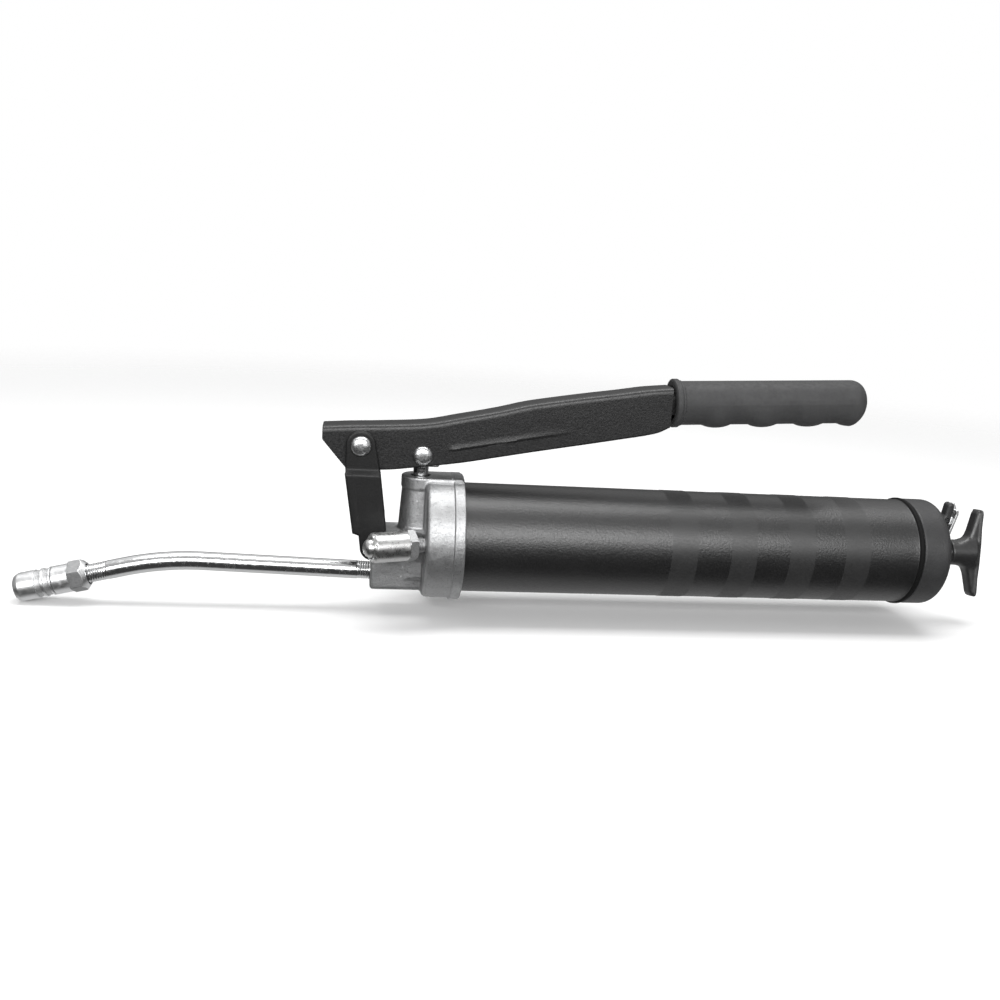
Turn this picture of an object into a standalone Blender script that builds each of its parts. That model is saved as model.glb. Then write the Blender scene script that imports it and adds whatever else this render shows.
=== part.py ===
"""Lever-action grease gun: die-cast pump head, steel barrel, pressed-steel lever and delivery pipe.

Working units are millimetres about the barrel's axis: X runs from the coupler (-X) to the pull
handle (+X), Z points up to the lever, and X = 0 is the rear edge of the head's collar.  The
empty at the model's root carries everything to the final frame, whose origin is the centre of
the bottom of the bounding box.
"""

import math

import bmesh
import bpy
from mathutils import Matrix, Vector

MM = 0.001
GAP = 0.3                       # clearance between neighbouring pieces
WELD = 0.00001                  # merge distance in metres

# Root of the model: the collar's rear edge on the barrel axis, seen from the final origin
ROOT_X = -36.946
ROOT_Y = 3.8382
ROOT_Z = 40.461

# Barrel and collar
BARREL_R = 28.5
BARREL_WALL = 1.2
BARREL_BORE_R = BARREL_R - BARREL_WALL
BARREL_FRONT_X = -9.9
BARREL_REAR_X = 246.2
BEAD_R = 29.6
COLLAR_R = 32.0
COLLAR_RING_R = 32.8
COLLAR_FRONT_X = -19.6
COLLAR_SOCKET_X = -12.5
SOCKET_R = BARREL_R + 0.4

# Pump head
PUMP_X = -22.0                  # axis of the plunger
TOWER_TOP_Z = 32.3
TOWER_R = 9.8
PLUNGER_R = 3.9
PLUNGER_BOTTOM_Z = -12.0
PUMP_BORE_R = PLUNGER_R + GAP
SEAL_R = 5.2
SEAL_FLOOR_Z = 28.3
BLOCK_X = (-46.0, -14.0)
BLOCK_Z = (-27.0, 4.0)
BLOCK_HALF_Y = 11.0
OUTLET_Z = -20.5

# Linkage pivots (x, z)
LINK_FOOT = (-45.0, -3.9)
LINK_HEAD = (-53.0, 47.9)
CROSS_PIN = (PUMP_X, 43.9)
PIN_R = 3.0
PIN_HOLE_R = PIN_R + GAP
LEVER_HALF_Y = 9.0
LEVER_SHEET = 2.0
LINK_SHEET = 2.5

# Lever grip
GRIP_START = (106.7, 75.9)
GRIP_TILT = math.radians(3.4)
GRIP_LENGTH = 106.2
GRIP_R = 11.5
GRIP_FLANGE_R = 12.7
GRIP_SOCKET_R = 9.0
GRIP_SOCKET_DEPTH = 88.0

# Delivery pipe and coupler
PIPE_R = 4.75
PIPE_BORE_R = 2.2
PIPE_RISE = math.radians(1.7)
COUPLER_TILT = math.radians(13.7)
COUPLER_X = -179.63             # a point on the coupler's axis, inside the pipe
COUPLER_Z = -24.04
COUPLER_R = 7.2
HEX_CORNER_R = 8.3

# Bleeder valve in the collar's front face
VALVE_Y = -25.0
VALVE_Z = 1.9
VALVE_R = 7.5
VALVE_TURN = math.radians(18.0)     # the valve's nose is turned outwards, about where it enters the collar
VALVE_AT = (COLLAR_FRONT_X * (1 - math.cos(VALVE_TURN)),
            VALVE_Y - COLLAR_FRONT_X * math.sin(VALVE_TURN), VALVE_Z)
ALONG_VALVE = (0.0, math.pi / 2, VALVE_TURN)

# Follower, rod and pull handle
ROD_R = 3.0
ROD_FRONT_X = 3.0
HANDLE_X = 277.2
HANDLE_TURN = math.radians(-8.0)

# Rear cap
CAP_R = 29.2
CAP_CORNER_X = 258.5
CAP_APEX_X = 267.0
CAP_SQUARENESS = 2.5           # exponent of the rounded corner, 2 is an ellipse
HOOD_TOP = (273.6, 26.8)
HOOD_TOP_R = 2.1
HOOD_HALF_Y = 2.9
LATCH_SLOT_HALF_Y = 1.6
LATCH_PIVOT = (272.4, 18.5)

ALONG_X = (0.0, math.pi / 2, 0.0)
ALONG_Y = (math.pi / 2, 0.0, 0.0)
OUTLET_TURN = (0.0, -math.pi / 2 + PIPE_RISE, 0.0)
UPRIGHT = (0.0, 0.0, 0.0)


# ---------------------------------------------------------------- scene, materials, helpers

for old in list(bpy.data.objects):
    bpy.data.objects.remove(old, do_unlink=True)

parts = bpy.data.collections.new("grease_gun")
cutters = bpy.data.collections.new("grease_gun_cutters")
bpy.context.scene.collection.children.link(parts)
bpy.context.scene.collection.children.link(cutters)

root = bpy.data.objects.new("gun_frame", None)
root.location = (ROOT_X * MM, ROOT_Y * MM, ROOT_Z * MM)
parts.objects.link(root)


def paint(name, colour, roughness, metallic):
    material = bpy.data.materials.new(name)
    material.use_nodes = True
    shader = material.node_tree.nodes["Principled BSDF"]
    shader.inputs["Base Color"].default_value = (*colour, 1.0)
    shader.inputs["Roughness"].default_value = roughness
    shader.inputs["Metallic"].default_value = metallic
    material.diffuse_color = (*colour, 1.0)
    return material


CAST = paint("die_cast_zinc", (0.56, 0.57, 0.58), 0.45, 1.0)
BLACK_COAT = paint("black_powder_coat", (0.035, 0.035, 0.037), 0.5, 0.0)
BLACK_LEVER = paint("black_satin_paint", (0.03, 0.03, 0.032), 0.42, 0.0)
GRIP_RUBBER = paint("grip_rubber", (0.045, 0.045, 0.047), 0.75, 0.0)
SEAL_RUBBER = paint("seal_rubber", (0.02, 0.02, 0.02), 0.8, 0.0)
BRIGHT_ZINC = paint("bright_zinc", (0.75, 0.76, 0.77), 0.25, 1.0)
STEEL = paint("ground_steel", (0.62, 0.63, 0.64), 0.3, 1.0)
SPRING = paint("spring_steel", (0.45, 0.46, 0.47), 0.4, 1.0)
MOULDED = paint("moulded_black", (0.03, 0.03, 0.03), 0.45, 0.0)
NYLON = paint("nylon", (0.75, 0.74, 0.70), 0.5, 0.0)


def add(name, mesh, material, at=(0.0, 0.0, 0.0), turn=UPRIGHT, cutter=False):
    """Put a mesh on the model's root, at a place in millimetres."""
    obj = bpy.data.objects.new(name, mesh)
    (cutters if cutter else parts).objects.link(obj)
    obj.parent = root
    obj.location = Vector(at) * MM
    obj.rotation_euler = turn
    if material:
        mesh.materials.append(material)
    if cutter:
        obj.hide_render = True
        obj.display_type = "WIRE"
    return obj


def mesh_from(name, build):
    """A mesh made by a function that fills a bmesh in millimetres."""
    mesh = bpy.data.meshes.new(name)
    work = bmesh.new()
    build(work)
    bmesh.ops.scale(work, vec=(MM, MM, MM), verts=work.verts)
    bmesh.ops.recalc_face_normals(work, faces=work.faces)
    work.to_mesh(mesh)
    work.free()
    return mesh


def apply_modifiers(obj):
    """Replace an object's mesh with what its modifiers make, and drop them."""
    graph = bpy.context.evaluated_depsgraph_get()
    graph.update()
    final = bpy.data.meshes.new_from_object(obj.evaluated_get(graph))
    obj.modifiers.clear()
    obj.data = final
    return obj


def smooth(obj, degrees=35.0):
    obj.data.shade_smooth()
    obj.data.set_sharp_from_angle(angle=math.radians(degrees))
    return obj


def turned(name, profile, material, at=(0.0, 0.0, 0.0), turn=ALONG_X, steps=40, cutter=False):
    """Turn an outline of (along, radius) points about an axis through at.

    An outline that starts and ends at radius 0 makes a solid; any other is closed into a ring.
    """
    loop = list(profile)
    area = sum(a[1] * b[0] - b[1] * a[0] for a, b in zip(loop, loop[1:] + loop[:1]))
    if area > 0:
        loop.reverse()
    mesh = bpy.data.meshes.new(name)
    verts = [(radius * MM, 0.0, along * MM) for along, radius in loop]
    edges = [(i, i + 1) for i in range(len(verts) - 1)]
    if loop[0][1] > 0 or loop[-1][1] > 0:
        edges.append((len(verts) - 1, 0))
    mesh.from_pydata(verts, edges, [])
    obj = add(name, mesh, material, at, turn, cutter)
    screw = obj.modifiers.new("turn", "SCREW")
    screw.steps = screw.render_steps = steps
    screw.use_merge_vertices = True
    screw.merge_threshold = WELD
    return smooth(apply_modifiers(obj))


def rod_profile(start, end, radius):
    return [(start, 0.0), (start, radius), (end, radius), (end, 0.0)]


def ring_profile(start, end, inner, outer):
    return [(start, inner), (start, outer), (end, outer), (end, inner)]


def drill(name, start, end, radius, at, turn, steps=24):
    """A cylindrical cutter from start to end along its axis."""
    return turned(name, rod_profile(start, end, radius), None, at, turn, steps, cutter=True)


def prism(name, outline, low, high, material, at=(0.0, 0.0, 0.0), cutter=False, across="Y"):
    """Extrude an outline: of (x, z) points across Y, or of (x, y) points across Z."""

    def build(work):
        if across == "Y":
            verts = [work.verts.new((a, low, b)) for a, b in outline]
            travel = (0.0, high - low, 0.0)
        else:
            verts = [work.verts.new((a, b, low)) for a, b in outline]
            travel = (0.0, 0.0, high - low)
        face = work.faces.new(verts)
        grown = bmesh.ops.extrude_face_region(work, geom=[face])
        moved = [item for item in grown["geom"] if isinstance(item, bmesh.types.BMVert)]
        bmesh.ops.translate(work, vec=travel, verts=moved)

    return add(name, mesh_from(name, build), material, at, UPRIGHT, cutter)


def box(name, low, high, material=None, cutter=True):
    def build(work):
        size = [b - a for a, b in zip(low, high)]
        centre = [(a + b) / 2 for a, b in zip(low, high)]
        place = Matrix.Translation(centre) @ Matrix.Diagonal((*size, 1.0))
        bmesh.ops.create_cube(work, size=1.0, matrix=place)

    return add(name, mesh_from(name, build), material, cutter=cutter)


def arc(cx, cz, radius, start, end, count):
    """Points on an arc, by angle in degrees."""
    angles = [math.radians(start + (end - start) * i / count) for i in range(count + 1)]
    return [(cx + radius * math.cos(a), cz + radius * math.sin(a)) for a in angles]


def heal(obj):
    """Weld the hair-thin slivers that a Boolean can leave."""
    work = bmesh.new()
    work.from_mesh(obj.data)
    bmesh.ops.remove_doubles(work, verts=work.verts, dist=WELD)
    bmesh.ops.dissolve_degenerate(work, edges=work.edges, dist=WELD / 2)
    bmesh.ops.dissolve_limit(work, angle_limit=math.radians(0.2), verts=work.verts, edges=work.edges)
    work.to_mesh(obj.data)
    work.free()


def combine(obj, others, operation):
    """Join other objects to obj, or cut them from it, one after another, and keep the result."""
    for other in others:
        step = obj.modifiers.new(other.name, "BOOLEAN")
        step.operation = operation
        step.object = other
        step.solver = "EXACT"
        apply_modifiers(obj)
        heal(obj)
    return obj


def join(obj, others):
    combine(obj, others, "UNION")
    for other in others:
        bpy.data.objects.remove(other, do_unlink=True)
    return obj


def cut(obj, others):
    return smooth(combine(obj, others, "DIFFERENCE"))


def bevel(obj, width, segments=2, angle=35.0):
    step = obj.modifiers.new("bevel", "BEVEL")
    step.width = width * MM
    step.segments = segments
    step.limit_method = "ANGLE"
    step.angle_limit = math.radians(angle)
    step.harden_normals = False
    return smooth(apply_modifiers(obj))


def loft(name, sections, material, at=(0.0, 0.0, 0.0), turn=UPRIGHT):
    """Skin closed loops of equal count, in order, and cap both ends."""

    def build(work):
        rings = [[work.verts.new(point) for point in section] for section in sections]
        count = len(rings[0])
        for first, second in zip(rings, rings[1:]):
            for i in range(count):
                j = (i + 1) % count
                work.faces.new((first[i], first[j], second[j], second[i]))
        work.faces.new(rings[0])
        work.faces.new(list(reversed(rings[-1])))

    return smooth(add(name, mesh_from(name, build), material, at, turn))


def coil(name, start, end, radius, wire, turns, material, at=(0.0, 0.0, 0.0), turn=ALONG_X, points=12):
    """A helical spring between two places along its axis."""
    curve = bpy.data.curves.new(name, "CURVE")
    curve.dimensions = "3D"
    curve.bevel_depth = wire / 2 * MM
    curve.bevel_resolution = 2
    curve.use_fill_caps = True
    spline = curve.splines.new("POLY")
    count = int(turns * points)
    spline.points.add(count)
    travel = (end - start) - wire
    for i, point in enumerate(spline.points):
        share = i / count
        angle = 2 * math.pi * turns * share
        along = start + wire / 2 + travel * share
        place = (radius * math.cos(angle), radius * math.sin(angle), along)
        point.co = (*[value * MM for value in place], 1.0)
    helix = bpy.data.objects.new(name + "_path", curve)
    parts.objects.link(helix)
    graph = bpy.context.evaluated_depsgraph_get()
    graph.update()
    mesh = bpy.data.meshes.new_from_object(helix.evaluated_get(graph))
    bpy.data.objects.remove(helix, do_unlink=True)
    work = bmesh.new()
    work.from_mesh(mesh)
    bmesh.ops.remove_doubles(work, verts=work.verts, dist=WELD)
    bmesh.ops.recalc_face_normals(work, faces=work.faces)
    work.to_mesh(mesh)
    work.free()
    mesh.materials.clear()
    return smooth(add(name, mesh, material, at, turn))


# ---------------------------------------------------------------- pump head

def head_casting():
    collar = [(COLLAR_FRONT_X, 0.0)]
    collar += [(COLLAR_FRONT_X, COLLAR_R - 3.2)]
    collar += [(COLLAR_FRONT_X + 1.0, COLLAR_R - 0.9), (COLLAR_FRONT_X + 3.2, COLLAR_R)]
    collar += [(-5.6, COLLAR_R), (-5.3, COLLAR_RING_R), (-0.6, COLLAR_RING_R)]
    collar += [(0.0, COLLAR_RING_R - 0.6), (0.0, 0.0)]
    head = turned("head_casting", collar, CAST, steps=48)

    tower_plan = arc(PUMP_X, 0.0, TOWER_R, 90, 270, 16) + [(-4.0, -10.6), (-0.9, -10.6)]
    tower_plan += [(-0.9, 10.6), (-4.0, 10.6)]
    tower = prism("tower", tower_plan, -20.0, TOWER_TOP_Z, None, across="Z")
    front_x, rear_x = BLOCK_X
    low_z, high_z = BLOCK_Z
    block = box("block", (front_x, -BLOCK_HALF_Y, low_z), (rear_x, BLOCK_HALF_Y, high_z), cutter=False)
    bevel(block, 2.0, 2)
    foot_lug = drill("foot_lug", -BLOCK_HALF_Y + 0.02, BLOCK_HALF_Y - 0.02, 6.2,
                     (LINK_FOOT[0], 0.0, LINK_FOOT[1]), ALONG_Y, 32)
    join(head, [tower, block, foot_lug])

    foot = (LINK_FOOT[0], 0.0, LINK_FOOT[1])
    pump = [(OUTLET_Z, 0.0), (OUTLET_Z, 1.6), (-15.5, 1.6), (-15.5, PUMP_BORE_R), (SEAL_FLOOR_Z, PUMP_BORE_R),
            (SEAL_FLOOR_Z, SEAL_R), (TOWER_TOP_Z + 1.0, SEAL_R), (TOWER_TOP_Z + 1.0, 0.0)]
    outlet = [(-1.0, 0.0), (-1.0, 1.9), (5.0, 1.9), (5.0, 3.6), (14.0, 3.6), (14.0, PIPE_R + GAP),
              (27.0, PIPE_R + GAP), (27.0, 0.0)]
    bores = [
        drill("barrel_socket", COLLAR_SOCKET_X, 2.0, SOCKET_R, (0.0, 0.0, 0.0), ALONG_X, 48),
        turned("pump_bore", pump, None, (PUMP_X, 0.0, 0.0), UPRIGHT, 30, cutter=True),
        turned("outlet_bore", outlet, None, (PUMP_X, 0.0, OUTLET_Z), OUTLET_TURN, 26, cutter=True),
        drill("inlet_port", -20.0, COLLAR_SOCKET_X + 1.0, 2.6, (0.0, 0.0, 7.0), ALONG_X, 18),
        drill("valve_thread", COLLAR_FRONT_X - 3.0, -14.4, 3.9, VALVE_AT, ALONG_VALVE),
        drill("valve_port", -15.0, COLLAR_SOCKET_X + 1.0, 1.3, (0.0, VALVE_Y + 2.2, VALVE_Z), ALONG_X, 14),
        drill("foot_pin_hole", -20.0, 20.0, PIN_HOLE_R, foot, ALONG_Y),
    ]
    return cut(head, bores)


def plunger_seal():
    profile = ring_profile(SEAL_FLOOR_Z + GAP, TOWER_TOP_Z - 0.4, PLUNGER_R + 0.25, SEAL_R - GAP)
    return turned("plunger_seal", profile, SEAL_RUBBER, (PUMP_X, 0.0, 0.0), UPRIGHT, 24)


def outlet_check():
    at = (PUMP_X, 0.0, OUTLET_Z)
    middle, radius = 8.0, 2.6
    ball = [(middle - radius, 0.0)]
    ball += [(middle - radius * math.cos(math.radians(a)), radius * math.sin(math.radians(a)))
             for a in range(18, 180, 18)]
    ball += [(middle + radius, 0.0)]
    turned("outlet_ball", ball, STEEL, at, OUTLET_TURN, 16)
    coil("outlet_spring", 11.0, 14.2, 2.2, 0.6, 2.5, SPRING, at, OUTLET_TURN, 8)


def headed_pin(name, half_length, shank_r, head_r, head_height, at, material=BRIGHT_ZINC):
    """A rivet or pin along Y with a domed head at each end."""
    shoulder = half_length - head_height

    def dome(side):
        steps = [0.0, 0.5, 0.84, 1.0]
        rim = [(shoulder, head_r)]
        rim += [(shoulder + head_height * (0.25 + 0.75 * s), head_r * math.sqrt(1 - (0.96 * s) ** 2))
                for s in steps]
        rim[-1] = (half_length, 0.0)
        return [(side * along, radius) for along, radius in rim]

    profile = list(reversed(dome(-1))) + [(-shoulder, shank_r), (shoulder, shank_r)] + dome(1)
    return turned(name, profile, material, (at[0], 0.0, at[1]), ALONG_Y, 18)


# ---------------------------------------------------------------- linkage

def link():
    """U-shaped strap from the head to the lever, joggled out round the head's foot lug."""
    lug_r = 6.8
    upper = arc(*LINK_HEAD, 7.5, 0, 180, 14) + [(-60.2, 33.0), (-41.9, 33.0)]
    lower = [(-60.1, 36.4), (-59.9, 33.5), (-55.4, 3.4), (-53.0, 2.1)]
    lower += arc(*LINK_FOOT, lug_r, 180, 360, 14) + [(-39.2, 9.0), (-42.9, 36.4)]
    inner_top = LEVER_HALF_Y + GAP
    inner_low = BLOCK_HALF_Y + GAP
    web = [(-60.1, 33.5), (-55.5, 3.6), (-53.0, 3.6), (-57.6, 33.5)]
    strap = prism("link", web, -inner_low - 0.5, inner_low + 0.5, BLACK_LEVER)
    sides = []
    for side in (-1, 1):
        top = sorted((side * inner_top, side * (inner_top + LINK_SHEET)))
        low = sorted((side * inner_low, side * (inner_low + LINK_SHEET)))
        sides.append(prism("ear_top", upper, *top, None))
        sides.append(prism("ear_low", lower, *low, None))
    join(strap, sides)
    holes = [drill("link_head_hole", -20.0, 20.0, PIN_HOLE_R, (LINK_HEAD[0], 0.0, LINK_HEAD[1]), ALONG_Y),
             drill("link_foot_hole", -20.0, 20.0, PIN_HOLE_R, (LINK_FOOT[0], 0.0, LINK_FOOT[1]), ALONG_Y)]
    return cut(strap, holes)


LEVER_STATIONS = [              # x, top z, bottom z, half width
    (-72.2, 56.6, 49.9, 9.0),
    (-66.0, 57.1, 42.6, 9.0),
    (-59.8, 57.6, 35.4, 9.0),
    (-43.3, 58.6, 35.6, 9.0),
    (-22.0, 60.3, 38.0, 9.0),
    (-3.0, 64.2, 40.8, 9.0),
    (15.0, 68.2, 44.3, 9.0),
    (31.0, 72.4, 47.5, 9.0),
    (46.6, 75.4, 50.5, 9.0),
    (62.5, 78.2, 53.5, 9.0),
    (78.4, 80.8, 56.6, 9.0),
    (92.0, 83.2, 59.3, 9.0),
    (98.5, 84.0, 61.0, 9.0),
    (104.9, 84.7, 64.2, 9.0),
]
TANG_HALF_Y = 6.5
TANG_HALF_Z = 5.6
TANG_LENGTH = 84.0


def channel_section(x, top, bottom, half, sheet):
    """Closed outline of an upside-down U with rounded shoulders."""
    round_out = 2.6
    round_in = 1.2
    inner = half - sheet
    crown = top - sheet
    return [
        (x, -half, bottom), (x, -half, top - round_out), (x, -half + 0.3 * round_out, top - 0.3 * round_out),
        (x, -half + round_out, top), (x, half - round_out, top),
        (x, half - 0.3 * round_out, top - 0.3 * round_out), (x, half, top - round_out), (x, half, bottom),
        (x, inner, bottom), (x, inner, crown - round_in), (x, inner - round_in, crown),
        (x, -inner + round_in, crown), (x, -inner, crown - round_in), (x, -inner, bottom),
    ]


def lever():
    """Pressed-steel channel, open underneath, running into a narrow tang inside the grip."""
    sections = [channel_section(*station, LEVER_SHEET) for station in LEVER_STATIONS]
    for travel in (-1.0, TANG_LENGTH):
        x = GRIP_START[0] + travel * math.cos(GRIP_TILT)
        middle = GRIP_START[1] + travel * math.sin(GRIP_TILT)
        sections.append(channel_section(x, middle + TANG_HALF_Z, middle - TANG_HALF_Z, TANG_HALF_Y, 1.8))
    arm = loft("lever", sections, BLACK_LEVER)
    holes = [drill("lever_link_hole", -20.0, 20.0, PIN_HOLE_R, (LINK_HEAD[0], 0.0, LINK_HEAD[1]), ALONG_Y),
             drill("lever_cross_hole", -20.0, 20.0, PIN_HOLE_R, (CROSS_PIN[0], 0.0, CROSS_PIN[1]), ALONG_Y)]
    return cut(arm, holes)


def lever_grip():
    """Rubber grip with a flange, four finger swells underneath and a blind socket for the tang."""
    around = 20
    swell_centres = (24.5, 50.0, 75.5, 100.0)

    def ring(along, radius, swell):
        points = []
        for i in range(around):
            angle = 2 * math.pi * i / around
            down = max(0.0, -math.sin(angle))
            reach = radius + swell * down ** 1.5
            points.append((along, reach * math.cos(angle), reach * math.sin(angle)))
        return points

    outer = [(0.0, GRIP_FLANGE_R - 0.6), (0.6, GRIP_FLANGE_R), (2.8, GRIP_FLANGE_R), (3.5, GRIP_FLANGE_R - 0.6),
             (4.9, GRIP_R + 0.3), (7.0, GRIP_R)]
    sections = [ring(along, radius, 0.0) for along, radius in outer]
    stations = 18
    first, last = 14.0, GRIP_LENGTH - 7.0
    for i in range(stations + 1):
        along = first + (last - first) * i / stations
        nearest = min(abs(along - centre) for centre in swell_centres)
        swell = 1.5 * math.exp(-(nearest / 6.5) ** 2)
        sections.append(ring(along, GRIP_R, swell))
    for share in (0.4, 0.75, 0.95):
        along = last + (GRIP_LENGTH - last) * share
        sections.append(ring(along, GRIP_R * math.sqrt(1 - 0.72 * share ** 2.6), 0.6 * (1 - share)))
    sections.append(ring(GRIP_LENGTH, GRIP_R * 0.42, 0.0))
    at = (GRIP_START[0], 0.0, GRIP_START[1])
    grip = loft("lever_grip", sections, GRIP_RUBBER, at, (0.0, -GRIP_TILT, 0.0))
    socket = drill("grip_socket", -1.0, GRIP_SOCKET_DEPTH, GRIP_SOCKET_R, at,
                   (0.0, math.pi / 2 - GRIP_TILT, 0.0), 22)
    return cut(grip, [socket])


def plunger():
    """Ground piston with a slotted cross-head that hides in the lever's channel."""
    x, z = CROSS_PIN
    piston = turned("plunger", [(PLUNGER_BOTTOM_Z, 0.0), (PLUNGER_BOTTOM_Z, PLUNGER_R - 0.5),
                                (PLUNGER_BOTTOM_Z + 0.5, PLUNGER_R), (39.0, PLUNGER_R), (39.0, 0.0)],
                    STEEL, (x, 0.0, 0.0), UPRIGHT, 32)
    eye = box("eye", (x - 6.6, -6.4, z - 6.4), (x + 9.0, 6.4, z + 6.6), cutter=False)
    bevel(eye, 1.5, 2)
    join(piston, [eye])
    reach = PIN_R + GAP
    slot = [(x - reach, z - reach - 0.35), (x + reach + 2.6, z - reach - 0.35),
            (x + reach + 2.6, z + reach + 0.55), (x - reach, z + reach + 0.55)]
    cutter = prism("eye_slot", slot, -20.0, 20.0, None, cutter=True)
    return cut(piston, [cutter])


# ---------------------------------------------------------------- barrel, rod and rear cap

def barrel():
    profile = [(BARREL_FRONT_X, BARREL_BORE_R), (BARREL_FRONT_X, BARREL_R - 0.4),
               (BARREL_FRONT_X + 0.4, BARREL_R), (242.6, BARREL_R), (243.6, BEAD_R - 0.5),
               (244.8, BEAD_R), (245.6, BEAD_R - 0.3), (BARREL_REAR_X, BEAD_R - 0.8),
               (BARREL_REAR_X, BARREL_BORE_R)]
    return turned("barrel", profile, BLACK_COAT, steps=48)


def barrel_gasket():
    return turned("barrel_gasket", ring_profile(COLLAR_SOCKET_X + 0.3, BARREL_FRONT_X - 0.3, 25.4, 28.4),
                  SEAL_RUBBER, steps=36)


def rear_cap():
    """Domed cap with a spigot in the barrel, a latch hood and a hole for the rod."""
    wall = 1.6

    def dome(inset):
        angles = [math.radians(a) for a in range(0, 85, 12)]
        power = 2.0 / CAP_SQUARENESS
        depth = CAP_APEX_X - CAP_CORNER_X - inset
        return [(CAP_CORNER_X + depth * math.sin(a) ** power, (CAP_R - inset) * math.cos(a) ** power)
                for a in angles]

    spigot_r = BARREL_BORE_R - GAP
    outer = [(236.0, spigot_r), (BARREL_REAR_X + GAP, spigot_r), (BARREL_REAR_X + GAP, CAP_R)] + dome(0.0)
    outer += [(CAP_APEX_X, 4.0), (CAP_APEX_X, 0.0)]
    shell = turned("rear_cap", outer + [(236.0, 0.0)], BLACK_COAT, steps=44)
    crest = arc(*HOOD_TOP, HOOD_TOP_R, 170.0, 0.0, 7)
    front, back = [(262.0, 12.0), (264.0, 15.6), (268.4, 18.4), (270.8, 22.0)], [(275.5, 24.0), (274.5, 16.9)]
    outline = front + crest + back + [(272.2, 12.4), (264.0, 8.0)]
    hood = prism("hood", outline, -HOOD_HALF_Y, HOOD_HALF_Y, None)
    bevel(hood, 0.5, 1)
    join(shell, [hood])
    inner = [(235.0, 0.0), (235.0, spigot_r - wall), (250.0, spigot_r - wall)]
    inner += [point for point in dome(wall) if point[1] < spigot_r - wall]
    inner += [(CAP_APEX_X - wall, 3.0), (CAP_APEX_X - wall, 0.0)]
    hollow = turned("cap_hollow", inner, None, steps=44, cutter=True)
    bush_hole = drill("bush_hole", 255.0, 280.0, 5.2, (0.0, 0.0, 0.0), ALONG_X, 32)
    gap = [(267.6, 5.0), (290.0, 5.0), (290.0, 33.0), (273.0, 33.0), (273.0, 24.2), (269.4, 18.5),
           (267.6, 16.4)]
    slot = prism("latch_slot", gap, -LATCH_SLOT_HALF_Y, LATCH_SLOT_HALF_Y, None, cutter=True)
    pin_hole = drill("latch_pin_hole", -9.0, 9.0, 1.5, (LATCH_PIVOT[0], 0.0, LATCH_PIVOT[1]), ALONG_Y, 18)
    return cut(shell, [hollow, bush_hole, slot, pin_hole])


def rod_bushing():
    profile = ring_profile(CAP_APEX_X - 3.4, CAP_APEX_X - 0.1, ROD_R + GAP, 4.9)
    return turned("rod_bushing", profile, NYLON, steps=32)


def strip(spine, thickness):
    """Outline of a bent sheet of even thickness along a line of (x, z) points."""
    left, right = [], []
    for i, (x, z) in enumerate(spine):
        before = spine[max(i - 1, 0)]
        after = spine[min(i + 1, len(spine) - 1)]
        along = Vector((after[0] - before[0], after[1] - before[1])).normalized() * thickness / 2
        left.append((x - along.y, z + along.x))
        right.append((x + along.y, z - along.x))
    return left + right[::-1]


def latch():
    """Stamped plate on a cross pin in the hood: thumb tab above, a hole round the rod below."""
    px, pz = LATCH_PIVOT
    foot, waist, elbow = (269.6, -8.6), (273.2, 5.35), (277.6, 22.4)
    tab, tongue = [(277.55, 23.6), (277.2, 24.7)], [(276.7, 26.0), (275.5, 28.1)]
    plate = prism("latch_plate", strip([waist, elbow] + tab, 1.5), -3.3, 3.3, BRIGHT_ZINC)
    curl = prism("latch_curl", strip(tab + tongue, 1.5), -1.3, 1.3, None)
    arm = prism("latch_arm", [(px, pz - 2.1), (276.0, 16.0), (277.1, 20.4), (px, pz + 2.1)], -1.25, 1.25, None)
    eye = drill("latch_eye", -1.3, 1.3, 2.3, (px, 0.0, pz), ALONG_Y, 24)
    grip_plate = prism("latch_grip", strip([foot, (273.5, 6.5)], 1.5), -5.6, 5.6, None)
    join(plate, [grip_plate, curl, arm, eye])
    cut(plate, [drill("latch_eye_hole", -9.0, 9.0, 1.5, (px, 0.0, pz), ALONG_Y, 20),
                drill("latch_rod_hole", 260.0, 285.0, ROD_R + 1.0, (0.0, 0.0, 0.0), ALONG_X)])
    turned("latch_pin", rod_profile(-2.7, 2.7, 1.15), STEEL, (px, 0.0, pz), ALONG_Y, 20)


def follower_assembly():
    rod = [(ROD_FRONT_X, 0.0), (ROD_FRONT_X, ROD_R), (288.0, ROD_R), (288.0, 0.0)]
    turned("follower_rod", rod, STEEL, steps=24)
    cup_r = BARREL_BORE_R - 0.3
    cup = [(8.0, ROD_R + GAP), (8.0, 22.0), (4.0, cup_r - 0.6), (4.0, cup_r), (16.0, cup_r),
           (16.0, cup_r - 2.4), (11.0, 23.0), (11.0, ROD_R + GAP)]
    turned("follower_cup", cup, SEAL_RUBBER, steps=36)
    plate = [(11.3, ROD_R + GAP), (11.3, 21.5), (12.9, 21.5), (12.9, 9.0), (14.5, 9.0), (14.5, ROD_R + GAP)]
    turned("follower_plate", plate, BRIGHT_ZINC, steps=28)
    nut = turned("rod_nut", rod_profile(3.2, 7.7, 5.8), BRIGHT_ZINC, steps=6)
    cut(nut, [drill("nut_bore", 2.0, 9.0, ROD_R + 0.08, (0.0, 0.0, 0.0), ALONG_X)])
    coil("follower_spring", 13.2, 235.4, 19.0, 2.4, 7, SPRING, points=12)


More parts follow.
